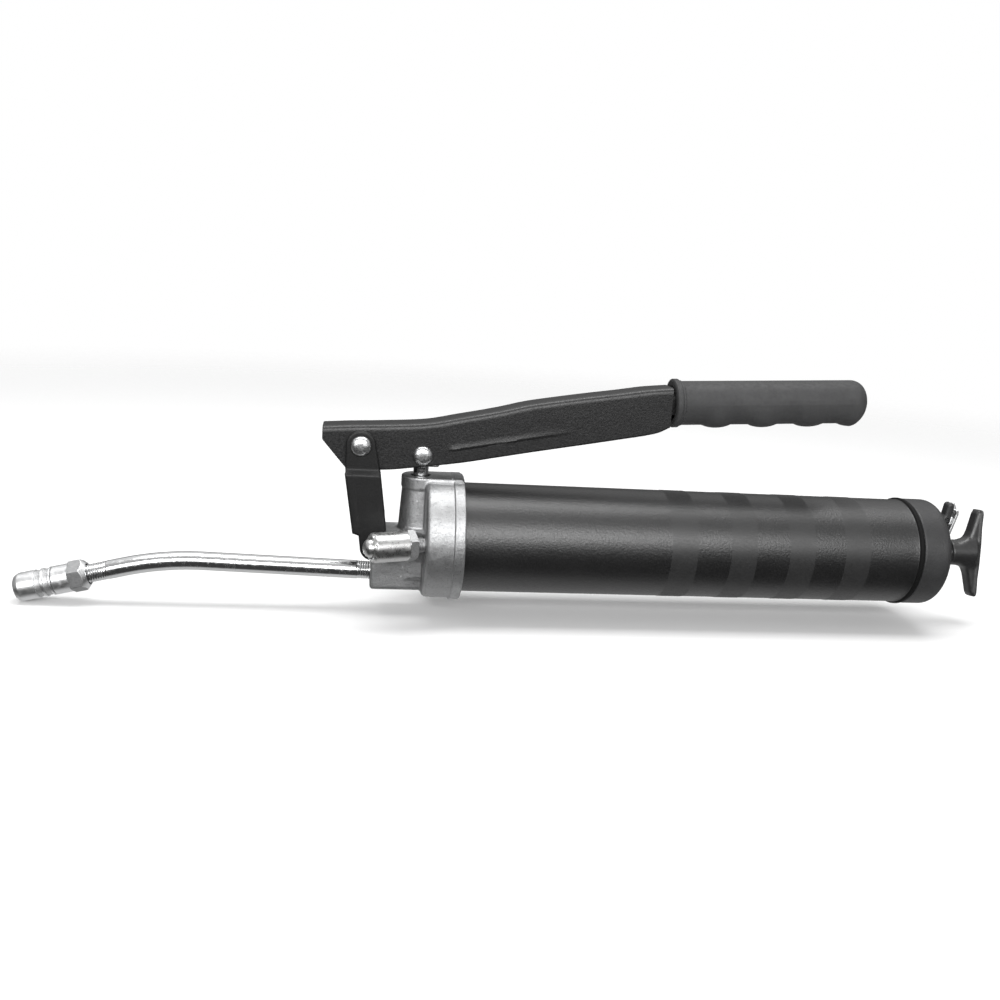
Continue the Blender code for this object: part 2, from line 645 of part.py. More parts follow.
def t_handle():
    """Moulded pull handle with two wings, bored for the rod."""
    shank = [(0.0, 0.0), (0.0, 6.6), (0.6, 7.2), (7.0, 7.2), (12.0, 6.8), (17.8, 4.0), (18.4, 0.0)]
    neck = turned("t_handle", shank, MOULDED, (HANDLE_X, 0.0, 0.0), (HANDLE_TURN, 0.0, 0.0), 32)
    for vertex in neck.data.vertices:
        vertex.co = Vector((vertex.co.z, vertex.co.y, -vertex.co.x))
    half = [(7.2, 6.6), (11.3, 9.6), (13.5, 16.0), (14.6, 22.8), (15.8, 24.6), (17.4, 24.6), (18.4, 22.6),
            (18.6, 12.0)]
    outline = half + [(x, -z) for x, z in reversed(half)]
    wings = prism("wings", outline, -4.4, 4.4, None)
    bevel(wings, 1.8, 2, 40.0)
    wings.location = neck.location
    wings.rotation_euler = neck.rotation_euler
    join(neck, [wings])
    bore = drill("handle_bore", -1.0, 11.2, ROD_R + 0.06, (HANDLE_X, 0.0, 0.0), ALONG_X)
    return cut(neck, [bore])


# ---------------------------------------------------------------- delivery pipe and coupler

def pipe_path():
    """Centre line from the head's socket, round the bend and into the coupler."""
    start_x = PUMP_X - 14.6
    rise = math.tan(PIPE_RISE)
    dip = math.tan(COUPLER_TILT)
    corner_x = (OUTLET_Z - COUPLER_Z + PUMP_X * rise + COUPLER_X * dip) / (rise + dip)
    corner = Vector((corner_x, OUTLET_Z + (PUMP_X - corner_x) * rise))
    first = Vector((-1.0, rise)).normalized()
    second = Vector((-1.0, -dip)).normalized()
    reach = 20.0                # length of straight pipe that each side of the bend gives up
    path = [Vector((start_x, OUTLET_Z + (PUMP_X - start_x) * rise))]
    steps = 8
    for i in range(steps + 1):
        share = i / steps
        entry = corner - first * reach * (1 - share)
        leave = corner + second * reach * share
        path.append(entry.lerp(leave, share))
    path.append(Vector((COUPLER_X, COUPLER_Z)) + second * 11.8)
    return path


def delivery_pipe():
    curve = bpy.data.curves.new("delivery_pipe", "CURVE")
    curve.dimensions = "3D"
    curve.bevel_depth = PIPE_R * MM
    curve.bevel_resolution = 4
    curve.use_fill_caps = False
    spline = curve.splines.new("POLY")
    path = pipe_path()
    spline.points.add(len(path) - 1)
    for point, (x, z) in zip(spline.points, path):
        point.co = (x * MM, 0.0, z * MM, 1.0)
    wire = bpy.data.objects.new("pipe_path", curve)
    parts.objects.link(wire)
    graph = bpy.context.evaluated_depsgraph_get()
    graph.update()
    mesh = bpy.data.meshes.new_from_object(wire.evaluated_get(graph))
    bpy.data.objects.remove(wire, do_unlink=True)
    mesh.materials.clear()
    pipe = add("delivery_pipe", mesh, BRIGHT_ZINC)
    wall = pipe.modifiers.new("wall", "SOLIDIFY")
    wall.thickness = (PIPE_R - PIPE_BORE_R) * MM
    wall.offset = -1.0
    return smooth(apply_modifiers(pipe))


def coupler():
    """Hydraulic coupler: hexed body, screwed nose sleeve, three jaws, seal and spring."""
    at = (COUPLER_X, 0.0, COUPLER_Z)
    turn = (0.0, -math.pi / 2 - COUPLER_TILT, 0.0)

    body = turned("coupler_body", rod_profile(6.6, 15.2, HEX_CORNER_R), BRIGHT_ZINC, at, turn, 6)
    chamfer = [(5.0, 12.0), (5.0, 5.6), (6.6, 5.6), (9.4, HEX_CORNER_R + 0.1), (9.4, 12.0)]
    cut(body, [turned("hex_chamfer", chamfer, None, at, turn, 30, cutter=True)])
    rear = [(14.0, 0.0), (14.0, 6.6), (15.2, 6.6), (15.7, COUPLER_R), (23.3, COUPLER_R), (23.3, 5.6),
            (29.6, 5.6), (29.6, 0.0)]
    join(body, [turned("coupler_rear", rear, None, at, turn, 28)])
    bore = [(5.0, 0.0), (5.0, PIPE_R + GAP), (12.4, PIPE_R + GAP), (12.4, 1.9), (19.0, 1.9), (19.0, 3.9),
            (32.0, 3.9), (32.0, 0.0)]
    cut(body, [turned("coupler_bore", bore, None, at, turn, 26, cutter=True)])

    sleeve = [(23.6, 5.9), (23.6, COUPLER_R - 0.3), (23.9, COUPLER_R), (24.5, COUPLER_R), (24.9, 6.6),
              (27.2, 6.6), (27.6, COUPLER_R), (28.6, COUPLER_R), (29.0, 6.6), (31.3, 6.6), (31.7, COUPLER_R),
              (39.8, COUPLER_R), (41.6, 6.5), (42.2, 5.4), (42.2, 4.2), (40.0, 4.2), (36.5, 5.9)]
    turned("coupler_sleeve", sleeve, BRIGHT_ZINC, at, turn, 28)

    seal = [(31.4, 1.4), (31.4, 5.5), (33.0, 5.5), (33.0, 3.4), (34.6, 2.6), (34.6, 1.4)]
    turned("coupler_seal", seal, SEAL_RUBBER, at, turn, 24)
    coil("coupler_spring", 20.6, 31.0, 3.0, 0.8, 4, SPRING, at, turn, 8)

    jaw_outline = [(33.4, 4.0), (33.4, 5.5), (36.6, 5.5), (39.2, 4.5), (39.2, 3.35), (35.0, 3.35)]
    spread = math.radians(104.0)
    for number in range(3):
        middle = math.radians(90.0 + 120.0 * number)
        sections = []
        for i in range(9):
            angle = middle + spread * (i / 8 - 0.5)
            sections.append([(radius * math.cos(angle), radius * math.sin(angle), along)
                             for along, radius in jaw_outline])
        loft(f"coupler_jaw_{number + 1}", sections, STEEL, at, turn)


def bleeder_valve():
    """Screwed valve beside the outlet, with a sprung button in its nose."""
    profile = [(-48.0, 5.1), (-48.0, 6.4), (-46.6, VALVE_R), (-29.4, VALVE_R), (-29.4, 5.8), (-26.4, 5.8),
               (-26.4, 3.6), (-14.7, 3.6), (-14.7, 1.2), (-31.0, 1.2), (-31.0, 4.3), (-40.0, 4.3), (-40.0, 5.1)]
    body = turned("bleeder_body", profile, BRIGHT_ZINC, VALVE_AT, ALONG_VALVE, 28)
    hexagon = turned("bleeder_hex", ring_profile(-29.6, -25.6, 2.4, 8.2), None, VALVE_AT, ALONG_VALVE, 6)
    join(body, [hexagon])
    button = [(-51.8, 0.0), (-51.4, 1.9), (-50.5, 3.3), (-49.3, 4.3), (-48.0, 4.75), (-43.0, 4.75),
              (-43.0, 2.0), (-36.0, 2.0), (-36.0, 0.0)]
    turned("bleeder_button", button, BRIGHT_ZINC, VALVE_AT, ALONG_VALVE, 20)
    coil("bleeder_spring", -42.6, -31.4, 3.1, 0.8, 4, SPRING, VALVE_AT, ALONG_VALVE, 8)


head_casting()
plunger_seal()
outlet_check()
headed_pin("pivot_pin", 17.0, PIN_R - 0.1, 5.0, 2.7, LINK_FOOT)
link()
headed_pin("link_rivet", 15.0, PIN_R, 5.05, 2.8, LINK_HEAD)
lever()
headed_pin("cross_pin", 12.2, PIN_R, 4.95, 2.8, CROSS_PIN)
lever_grip()
plunger()
barrel()
barrel_gasket()
rear_cap()
rod_bushing()
latch()
follower_assembly()
t_handle()
delivery_pipe()
coupler()
bleeder_valve()
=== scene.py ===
"""Looks of the lever-action grease gun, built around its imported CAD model.

Lengths are millimetres about the barrel's axis, as in the model: X runs from the coupler (-X) to the
pull handle (+X), Z is up, and X = 0 is the rear edge of the head's collar.  piece() carries a mesh
from there to the frame, in metres.
"""

import functools
import math

import bmesh
import bpy
import numpy as np
from mathutils import Matrix, Vector

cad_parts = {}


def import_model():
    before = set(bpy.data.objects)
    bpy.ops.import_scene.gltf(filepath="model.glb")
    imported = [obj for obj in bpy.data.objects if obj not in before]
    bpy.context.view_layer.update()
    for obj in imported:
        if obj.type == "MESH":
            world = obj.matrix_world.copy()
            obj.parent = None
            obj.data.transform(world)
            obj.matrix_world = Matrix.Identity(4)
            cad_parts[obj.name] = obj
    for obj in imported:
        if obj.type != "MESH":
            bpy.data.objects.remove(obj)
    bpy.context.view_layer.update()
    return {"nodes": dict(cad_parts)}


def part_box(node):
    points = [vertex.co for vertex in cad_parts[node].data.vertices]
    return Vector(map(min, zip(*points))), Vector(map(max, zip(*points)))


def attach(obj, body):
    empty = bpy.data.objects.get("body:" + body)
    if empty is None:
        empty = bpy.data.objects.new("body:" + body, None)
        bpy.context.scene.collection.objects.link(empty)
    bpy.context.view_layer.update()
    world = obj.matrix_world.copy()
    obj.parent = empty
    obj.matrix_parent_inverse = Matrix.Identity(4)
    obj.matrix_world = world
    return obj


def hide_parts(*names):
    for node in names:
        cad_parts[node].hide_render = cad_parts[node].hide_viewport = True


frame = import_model()

MM = 0.001
BARREL_LOW, BARREL_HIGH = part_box("barrel")
ROOT = Vector((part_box("head_casting")[1].x, *((BARREL_LOW + BARREL_HIGH) / 2).yz))

# Driving sizes, in millimetres
BARREL_R = 28.5
BARREL_BORE_R = 27.3
BARREL_FRONT_X = -9.9
BEAD_R = 29.6
BEAD_X = 243.6
COLLAR_R = 32.0
COLLAR_RING_R = 32.8
COLLAR_FRONT_X = -19.6
PUMP_X = -22.0
TOWER_TOP_Z = 32.3
TOWER_R = 9.8
PLUNGER_R = 3.9
OUTLET_Z = -20.5
PIPE_R = 4.75
PIPE_BORE_R = 2.2
THREAD_PITCH = 1.2
THREAD_DEPTH = 0.42
HEX_BEVEL = 1.7                 # rise of a nut's bevel over its run
PIPE_RISE = math.radians(1.7)
COUPLER_TILT = math.radians(13.7)
COUPLER_X = -179.63
COUPLER_Z = -24.04
COUPLER_R = 7.2
COUPLER_HEX_R = 8.3
COUPLER_HEX_FROM, COUPLER_HEX_TO = 6.6, 15.2
LINK_FOOT = (-45.0, -3.9)
LINK_HEAD = (-53.0, 47.9)
CROSS_PIN = (PUMP_X, 43.9)
PIN_R = 3.0
PIN_HOLE_R = 3.3
GRIP_START = (106.7, 75.9)
GRIP_TILT = math.radians(3.4)
GRIP_LENGTH = 106.2
GRIP_R = 11.5
VALVE_Y = -25.0
VALVE_Z = 1.9
VALVE_R = 7.5
VALVE_HEX_R = 8.2
VALVE_HEX_FROM, VALVE_HEX_TO = -29.6, -25.6
VALVE_TURN = math.radians(18.0)
VALVE_NUT_X = -29.65
CAP_CORNER_X = 258.5
CAP_APEX_X = 267.0
CAP_R = 29.2
HOOD_TOP = (273.6, 26.8)
HOOD_TOP_R = 2.1
LATCH_PIVOT = (272.4, 18.5)
LATCH_PIN_R = 1.5
SHEET_HALF = 0.75              # half of the latch plate's thickness
HANDLE_X = 277.2
HANDLE_TURN = math.radians(-8.0)


def placed(name, data):
    """A new object in the scene, holding data."""
    obj = bpy.data.objects.new(name, data)
    bpy.context.scene.collection.objects.link(obj)
    return obj


# ---------------------------------------------------------------- camera

VIEW_LENS = 35.52
VIEW_FROM = (-0.091880, -0.493909, 0.177051)
VIEW_TURN, VIEW_DIP, VIEW_ROLL = -0.1496192, -0.2268928, -0.0714107


def camera():
    """The view that the object is shown in: a little from the left and a little from above."""
    data = bpy.data.cameras.new("view")
    data.sensor_width = 36.0
    data.lens = VIEW_LENS
    data.clip_end = 50.0
    eye = placed("view", data)
    eye.location = VIEW_FROM
    turn = Matrix.Rotation(VIEW_TURN, 4, "Z") @ Matrix.Rotation(VIEW_DIP, 4, "X")
    turn = turn @ Matrix.Rotation(VIEW_ROLL, 4, "Y") @ Matrix.Rotation(math.pi / 2, 4, "X")
    eye.rotation_euler = turn.to_euler()
    bpy.context.scene.camera = eye


camera()


# ---------------------------------------------------------------- materials

class Graph:
    """A node tree, written with each node's inputs given as sockets or as values."""

    def __init__(self, owner):
        owner.use_nodes = True
        self.tree = owner.node_tree

    def node(self, kind, inputs=None, **settings):
        node = self.tree.nodes.new("ShaderNode" + kind)
        for key, setting in settings.items():
            setattr(node, key, setting)
        self.fill(node, inputs or {})
        return node

    def fill(self, node, inputs):
        for key, item in inputs.items():
            if isinstance(item, bpy.types.NodeSocket):
                self.tree.links.new(item, node.inputs[key])
            else:
                node.inputs[key].default_value = item

    def ramp(self, source, low, high, start=0.0, end=1.0, shape="SMOOTHSTEP"):
        limits = {"Value": source, "From Min": low, "From Max": high, "To Min": start, "To Max": end}
        return self.node("MapRange", limits, interpolation_type=shape).outputs["Result"]


class Finish(Graph):
    """A procedural material, built up from a base and layers of variation on its surface."""

    def __init__(self, name, colour, roughness, metallic=0.0, specular=0.5):
        self.material = bpy.data.materials.new(name)
        super().__init__(self.material)
        self.shader = self.tree.nodes["Principled BSDF"]
        self.fill(self.shader, {"Metallic": metallic, "Specular IOR Level": specular})
        self.place = self.node("TexCoord").outputs["Object"]
        self.colour = self.value("RGB", (*colour, 1.0))
        self.rough = self.value("Value", roughness)
        self.height = 0.0

    def value(self, kind, amount):
        socket = self.node(kind).outputs[0]
        socket.default_value = amount
        return socket

    def math(self, operation, a, b):
        return self.node("Math", {0: a, 1: b}, operation=operation).outputs[0]

    def noise(self, size, detail=4.0, roughness=0.55, stretch=None):
        """Noise whose features are about size millimetres across, from 0 to 1."""
        place = self.place
        if stretch:
            place = self.node("Mapping", {"Vector": place, "Scale": stretch}).outputs[0]
        grain = {"Vector": place, "Scale": 1.0 / (size * MM), "Detail": detail, "Roughness": roughness}
        return self.node("TexNoise", grain).outputs["Fac"]

    def cells(self, size):
        return self.node("TexVoronoi", {"Vector": self.place, "Scale": 1.0 / (size * MM)}).outputs["Distance"]

    def tint(self, mask, colour):
        """Lay another colour over the base where the mask is 1."""
        layers = {"Factor": mask, "A": self.colour, "B": (*colour, 1.0)}
        self.colour = self.node("Mix", layers, data_type="RGBA").outputs["Result"]
        return self

    def mottle(self, grain, low, high, amount, colour):
        """Tint in patches of noise; grain is the noise's size, detail and roughness."""
        return self.tint(self.ramp(self.noise(*grain), low, high, 0.0, amount), colour)

    def roughen(self, mask, amount):
        self.rough = self.math("ADD", self.rough, self.math("MULTIPLY", mask, amount))
        return self

    def scuff(self, grain, low, high, amount):
        """Roughen in patches of noise."""
        return self.roughen(self.ramp(self.noise(*grain), low, high), amount)

    def raise_by(self, mask, amount):
        """Add to the bump height, in millimetres."""
        self.height = self.math("ADD", self.height, self.math("MULTIPLY", mask, amount * MM))
        return self

    def edges(self, low, high):
        """1 on outside edges, broken up by noise."""
        pointed = self.ramp(self.node("NewGeometry").outputs["Pointiness"], low, high)
        return self.math("MULTIPLY", pointed, self.ramp(self.noise(2.2, 6.0), 0.4, 0.62))

    def done(self, strength=1.0):
        rough = self.math("MINIMUM", self.math("MAXIMUM", self.rough, 0.04), 1.0)
        bump = self.node("Bump", {"Strength": strength, "Distance": 1.0, "Height": self.height})
        finish = {"Base Color": self.colour, "Roughness": rough, "Normal": bump.outputs["Normal"]}
        self.fill(self.shader, finish)
        return self.material


def die_cast():
    """Satin zinc casting: cloudy, with flow marks, pits, and outside edges painted brighter, partly as rubbed
    metal and partly as a painted highlight.
    """
    f = Finish("die_cast_zinc", (0.40, 0.403, 0.407), 0.41, 0.95)
    f.mottle((9.0, 6.0, 0.6), 0.42, 0.72, 0.6, (0.54, 0.543, 0.547))
    f.mottle((0.9, 5.0, 0.7), 0.52, 0.68, 0.7, (0.20, 0.202, 0.205))
    pits = f.ramp(f.cells(2.2), 0.09, 0.02)
    f.tint(pits, (0.10, 0.10, 0.102))
    # painted highlight: the pale tint on outside edges stands in for the bright lines of light along the
    # casting's edges, as well as rubbing
    f.tint(f.edges(0.53, 0.62), (0.80, 0.805, 0.81))
    f.scuff((1.6, 6.0, 0.7), 0.35, 0.7, 0.12)
    f.raise_by(f.noise(0.7, 6.0, 0.7), 0.16).raise_by(f.noise(5.0, 3.0), 0.3).raise_by(pits, -0.2)
    return f.done(0.9)


def powder_coat(name="black_powder_coat", shade=0.0045, rough=0.33, specular=0.95):
    """Black powder coat with a fine orange-peel skin and a little dust in it."""
    f = Finish(name, (shade, shade, shade * 1.04), rough, 0.0, specular)
    f.mottle((14.0, 5.0, 0.6), 0.4, 0.75, 0.5, (shade * 1.8, shade * 1.8, shade * 1.85))
    f.mottle((0.5, 3.0), 0.62, 0.72, 0.5, (0.02, 0.02, 0.02))
    f.tint(f.edges(0.56, 0.68), (0.06, 0.06, 0.06))
    f.scuff((0.9, 5.0, 0.65), 0.3, 0.7, 0.10)
    f.raise_by(f.noise(1.1, 4.0, 0.6), 0.15).raise_by(f.cells(0.55), 0.03)
    return f.done(1.0)


def knurled_coat():
    """The same coat over diamond knurling, paler all over than the plain coat: a painted sheen for the light
    the knurl's facets catch, with fine pale specks.
    """
    # painted sheen: a base colour well above the plain coat's, so the bands read lighter where the barrel is
    # in shade
    f = Finish("knurled_coat", (0.013, 0.013, 0.0132), 0.38, 0.0, 0.85)
    f.mottle((6.0, 5.0, 0.6), 0.4, 0.75, 0.5, (0.018, 0.018, 0.0183))
    f.mottle((0.5, 3.0), 0.6, 0.72, 0.5, (0.04, 0.04, 0.04))
    f.scuff((0.9, 5.0, 0.65), 0.3, 0.7, 0.14)
    f.raise_by(f.noise(0.5, 4.0, 0.6), 0.03)
    return f.done(0.8)


def lever_paint():
    """Satin black paint on pressed steel, slightly rippled, thin on the bends."""
    f = Finish("black_satin_paint", (0.006, 0.006, 0.0063), 0.33, 0.0, 0.6)
    f.mottle((11.0, 5.0, 0.6), 0.42, 0.74, 0.5, (0.010, 0.010, 0.0103))
    f.mottle((0.6, 3.0), 0.64, 0.74, 0.6, (0.025, 0.025, 0.025))
    f.tint(f.edges(0.56, 0.66), (0.13, 0.13, 0.13))
    f.scuff((1.3, 5.0, 0.7), 0.35, 0.7, 0.16)
    f.raise_by(f.noise(0.9, 5.0, 0.6), 0.11).raise_by(f.noise(7.0, 2.0), 0.12)
    return f.done(1.0)


def link_paint():
    """Flatter black than the lever's, with rubbed edges."""
    f = Finish("black_flat_paint", (0.0045, 0.0045, 0.0047), 0.42, 0.0, 0.4)
    f.mottle((8.0, 5.0, 0.6), 0.42, 0.74, 0.5, (0.008, 0.008, 0.0083))
    f.tint(f.edges(0.545, 0.63), (0.15, 0.15, 0.15))
    f.scuff((1.0, 5.0, 0.7), 0.35, 0.7, 0.14)
    f.raise_by(f.noise(0.7, 5.0, 0.6), 0.08)
    return f.done(0.9)


def grip_rubber():
    """Dull moulded rubber: pale bloom over dark grey, a very fine skin."""
    f = Finish("grip_rubber", (0.030, 0.030, 0.0307), 0.58, 0.0, 0.5)
    f.mottle((16.0, 5.0, 0.6), 0.4, 0.72, 0.55, (0.045, 0.045, 0.0457))
    f.mottle((0.7, 3.0), 0.62, 0.74, 0.45, (0.018, 0.018, 0.018))
    f.scuff((2.4, 5.0, 0.7), 0.35, 0.7, 0.16)
    f.raise_by(f.noise(0.45, 4.0, 0.6), 0.025).raise_by(f.noise(6.0, 2.0), 0.05)
    return f.done(0.8)


def plain(name, colour, rough, metallic, specular, patches, haze, grain, strength):
    """A simple finish: patches of another colour, an even haze and a fine grain."""
    f = Finish(name, colour, rough, metallic, specular)
    f.mottle(*patches)
    f.roughen(f.noise(haze[0], 4.0), haze[1])
    f.raise_by(f.noise(grain[0], 4.0), grain[1])
    return f.done(strength)


def bright_zinc(name="bright_zinc", colour=(0.80, 0.805, 0.81), base=0.13):
    """Bright zinc plate over turned steel, with fine marks and a hazy bloom."""
    f = Finish(name, colour, base, 1.0)
    f.mottle((6.0, 5.0, 0.6), 0.45, 0.8, 0.6, tuple(c * 0.84 for c in colour))
    f.mottle((0.7, 5.0, 0.7), 0.6, 0.78, 0.45, tuple(c * 0.55 for c in colour))
    f.scuff((2.0, 6.0, 0.7), 0.42, 0.75, 0.20)
    f.scuff((0.35, 3.0, 0.6), 0.5, 0.8, 0.10)
    f.raise_by(f.noise(0.5, 4.0, 0.6), 0.010).raise_by(f.noise(4.0, 2.0), 0.03)
    return f.done(0.7)


def frosted_zinc(name="frosted_zinc", level=0.44):
    """The same plate where it is left rough from the tool."""
    f = Finish(name, (level, level * 1.006, level * 1.014), 0.42, 1.0)
    f.mottle((0.6, 5.0, 0.7), 0.4, 0.7, 0.8, (level * 0.5, level * 0.503, level * 0.507))
    f.tint(f.edges(0.52, 0.60), (0.92, 0.925, 0.93))
    f.roughen(f.noise(0.5, 5.0, 0.7), 0.2)
    f.raise_by(f.noise(0.3, 4.0, 0.6), 0.035)
    return f.done(0.9)


def hammered_zinc():
    """Closed rivet heads: plated, and lightly dimpled by the riveting tool."""
    f = Finish("hammered_zinc", (0.68, 0.685, 0.69), 0.27, 1.0)
    f.mottle((1.1, 5.0, 0.65), 0.48, 0.72, 0.75, (0.36, 0.365, 0.37))
    f.mottle((0.4, 3.0), 0.6, 0.75, 0.4, (0.82, 0.82, 0.82))
    f.scuff((0.8, 5.0, 0.7), 0.4, 0.7, 0.18)
    f.raise_by(f.noise(1.5, 3.0, 0.6), 0.11).raise_by(f.noise(0.35, 3.0), 0.015)
    return f.done(0.9)


def ground_steel():
    f = Finish("ground_steel", (0.60, 0.605, 0.61), 0.16, 1.0)
    rings = f.noise(0.5, 4.0, 0.6, (0.08, 0.08, 1.0))
    f.mottle((3.0, 5.0), 0.45, 0.75, 0.6, (0.45, 0.45, 0.455))
    f.roughen(f.ramp(rings, 0.4, 0.7), 0.14)
    f.raise_by(rings, 0.006)
    return f.done(0.7)


def moulded_black():
    """Satin moulded plastic of the pull handle."""
    f = Finish("moulded_black", (0.010, 0.010, 0.0103), 0.36, 0.0, 0.9)
    f.mottle((8.0, 5.0, 0.6), 0.42, 0.74, 0.5, (0.018, 0.018, 0.0183))
    f.tint(f.edges(0.57, 0.68), (0.10, 0.10, 0.10))
    f.scuff((1.8, 5.0, 0.7), 0.35, 0.7, 0.14)
    f.raise_by(f.noise(0.5, 4.0, 0.6), 0.02).raise_by(f.noise(5.0, 2.0), 0.07)
    return f.done(0.8)


CAST = die_cast()
COAT = powder_coat()
CAP_COAT = powder_coat("black_cap_coat", 0.019, 0.44, 0.6)
KNURL = knurled_coat()
PAINT = lever_paint()
LINK_PAINT = link_paint()
RUBBER = grip_rubber()
SEAL = plain("seal_rubber", (0.016, 0.016, 0.016), 0.55, 0.0, 0.4,
             ((3.0, 4.0), 0.45, 0.75, 0.6, (0.035, 0.035, 0.035)), (1.2, 0.2), (0.4, 0.02), 0.7)
JOINT = plain("joint_black", (0.0025, 0.0025, 0.0026), 0.6, 0.0, 0.2,
              ((1.0, 4.0), 0.6, 0.75, 0.6, (0.012, 0.012, 0.012)), (1.2, 0.2), (0.6, 0.04), 0.8)
ZINC = bright_zinc()
NICKEL = bright_zinc("bright_nickel", (0.66, 0.66, 0.655), 0.27)
TURNED = bright_zinc("turned_zinc", (0.90, 0.905, 0.91), 0.33)
PLATE = bright_zinc("zinc_plate", (0.84, 0.845, 0.85), 0.42)
FROSTED = frosted_zinc()
GROOVED = frosted_zinc("grooved_zinc", 0.72)
RIVET = hammered_zinc()
STEEL = ground_steel()
SPRING = plain("spring_steel", (0.36, 0.365, 0.37), 0.3, 1.0, 0.5,
               ((1.4, 5.0), 0.45, 0.75, 0.7, (0.22, 0.22, 0.225)), (0.8, 0.22), (0.3, 0.01), 0.7)
MOULDED = moulded_black()
NYLON = plain("nylon", (0.70, 0.69, 0.64), 0.45, 0.0, 0.45,
              ((2.0, 4.0), 0.45, 0.75, 0.6, (0.55, 0.54, 0.49)), (0.8, 0.2), (0.4, 0.01), 0.6)


# ---------------------------------------------------------------- mesh helpers

def turn_outwards(mesh, weld=0.0):
    """Weld close points, if asked to, and turn every face outwards."""
    work = bmesh.new()
    work.from_mesh(mesh)
    if weld:
        bmesh.ops.remove_doubles(work, verts=work.verts, dist=weld)
    bmesh.ops.recalc_face_normals(work, faces=work.faces)
    work.to_mesh(mesh)
    work.free()


def piece(node, mesh, materials, body, sharp=38.0, replaces=True):
    """Turn a mesh in millimetres into a piece on its body, standing for its CAD node."""
    turn_outwards(mesh, 0.002)
    mesh.transform(Matrix.Translation(ROOT) @ Matrix.Scale(MM, 4))
    mesh.shade_smooth()
    mesh.set_sharp_from_angle(angle=math.radians(sharp))
    for material in materials:
        mesh.materials.append(material)
    mesh.name = node + "_fine"
    obj = placed(node + "_fine", mesh)
    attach(obj, body)
    if replaces:
        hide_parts(node)
    return obj


def repaint(obj, place, number, wanted):
    """Give material number to the faces whose centre and normal, as seen from a place, are wanted."""
    back = place.inverted() @ Matrix.Scale(1 / MM, 4) @ Matrix.Translation(-ROOT)
    turn = back.to_3x3()
    for face in obj.data.polygons:
        if wanted(back @ face.center, (turn @ face.normal).normalized()):
            face.material_index = number


def mesh_of(verts, faces):
    mesh = bpy.data.meshes.new("shape")
    mesh.from_pydata([tuple(v) for v in verts], [], [tuple(f) for f in faces])
    return mesh


def arc(x, z, radius, degrees):
    """Points round a centre, one at each of the given angles."""
    return [(x + radius * math.cos(math.radians(a)), z + radius * math.sin(math.radians(a))) for a in degrees]


def rounded(points, radius, special=None, steps=4, closed=False):
    """A polyline with its corners rounded off; special gives a corner's own radius by its index."""
    out = []
    count = len(points)
    for i, here in enumerate(points):
        size = (special or {}).get(i, radius)
        b = Vector(here)
        if size <= 0 or (not closed and i in (0, count - 1)):
            out.append(tuple(b))
            continue
        u = Vector(points[i - 1]) - b
        v = Vector(points[(i + 1) % count]) - b
        reach_u, reach_v = u.length, v.length
        corner = u.angle(v)
        if corner > math.radians(176):
            out.append(tuple(b))
            continue
        cut = min(size / math.tan(corner / 2), 0.48 * reach_u, 0.48 * reach_v)
        start, end = b + u.normalized() * cut, b + v.normalized() * cut
        for k in range(steps + 1):
            t = k / steps
            out.append(tuple(start * (1 - t) ** 2 + b * 2 * t * (1 - t) + end * t ** 2))
    return out


def along_x(x=0.0, y=0.0, z=0.0, tilt=0.0):
    """Place of a turned piece whose axis runs along X, tipped nose up by tilt."""
    return Matrix.Translation((x, y, z)) @ Matrix.Rotation(math.pi / 2 - tilt, 4, "Y")


def along_valve():
    """Place of the valve's pieces, whose axis is turned outwards about where it enters the collar."""
    entry = Matrix.Translation((COLLAR_FRONT_X, VALVE_Y, VALVE_Z))
    return entry @ Matrix.Rotation(VALVE_TURN, 4, "Z") @ Matrix.Translation((-COLLAR_FRONT_X, 0.0, 0.0))


def valve_frame(x, y):
    """Distances along the valve's axis and sideways from it."""
    u, v = x - COLLAR_FRONT_X, y - VALVE_Y
    cos, sin = math.cos(VALVE_TURN), math.sin(VALVE_TURN)
    return COLLAR_FRONT_X + u * cos + v * sin, v * cos - u * sin


def along_y(x, z):
    return Matrix.Translation((x, 0.0, z)) @ Matrix.Rotation(-math.pi / 2, 4, "X")


def along_z(x, y=0.0):
    return Matrix.Translation((x, y, 0.0))


def coupler_place():
    turn = Matrix.Rotation(-math.pi / 2 - COUPLER_TILT, 4, "Y")
    return Matrix.Translation((COUPLER_X, 0.0, COUPLER_Z)) @ turn


def turned(profile, place, steps=96, shape=None):
    """Turn (along, radius) points about an axis; shape(along, radius, angle) may change a radius."""
    verts, faces, rings = [], [], []
    for along, radius in profile:
        if radius < 1e-6:
            rings.append([len(verts)])
            verts.append(place @ Vector((0.0, 0.0, along)))
            continue
        ring = []
        for i in range(steps):
            angle = 2 * math.pi * i / steps
            reach = shape(along, radius, angle) if shape else radius
            ring.append(len(verts))
            verts.append(place @ Vector((reach * math.cos(angle), reach * math.sin(angle), along)))
        rings.append(ring)
    pairs = list(zip(rings, rings[1:]))
    if len(rings[0]) > 1 and len(rings[-1]) > 1:
        pairs.append((rings[-1], rings[0]))
    for a, b in pairs:
        for i in range(steps):
            j = (i + 1) % steps
            if len(a) == 1 and len(b) == 1:
                continue
            if len(a) == 1:
                faces.append((a[0], b[i], b[j]))
            elif len(b) == 1:
                faces.append((a[i], a[j], b[0]))
            else:
                faces.append((a[i], a[j], b[j], b[i]))
    return mesh_of(verts, faces)


def skin(rings, closed=False):
    """Join rings of equal count in order; the first and last are capped unless closed."""
    count = len(rings[0])
    verts = [point for ring in rings for point in ring]
    faces = []
    spans = len(rings) if closed else len(rings) - 1
    for r in range(spans):
        a, b = r * count, (r + 1) % len(rings) * count
        for i in range(count):
            j = (i + 1) % count
            faces.append((a + i, a + j, b + j, b + i))
    if not closed:
        faces.append(tuple(range(count)))
        faces.append(tuple(reversed(range(len(verts) - count, len(verts)))))
    return mesh_of(verts, faces)


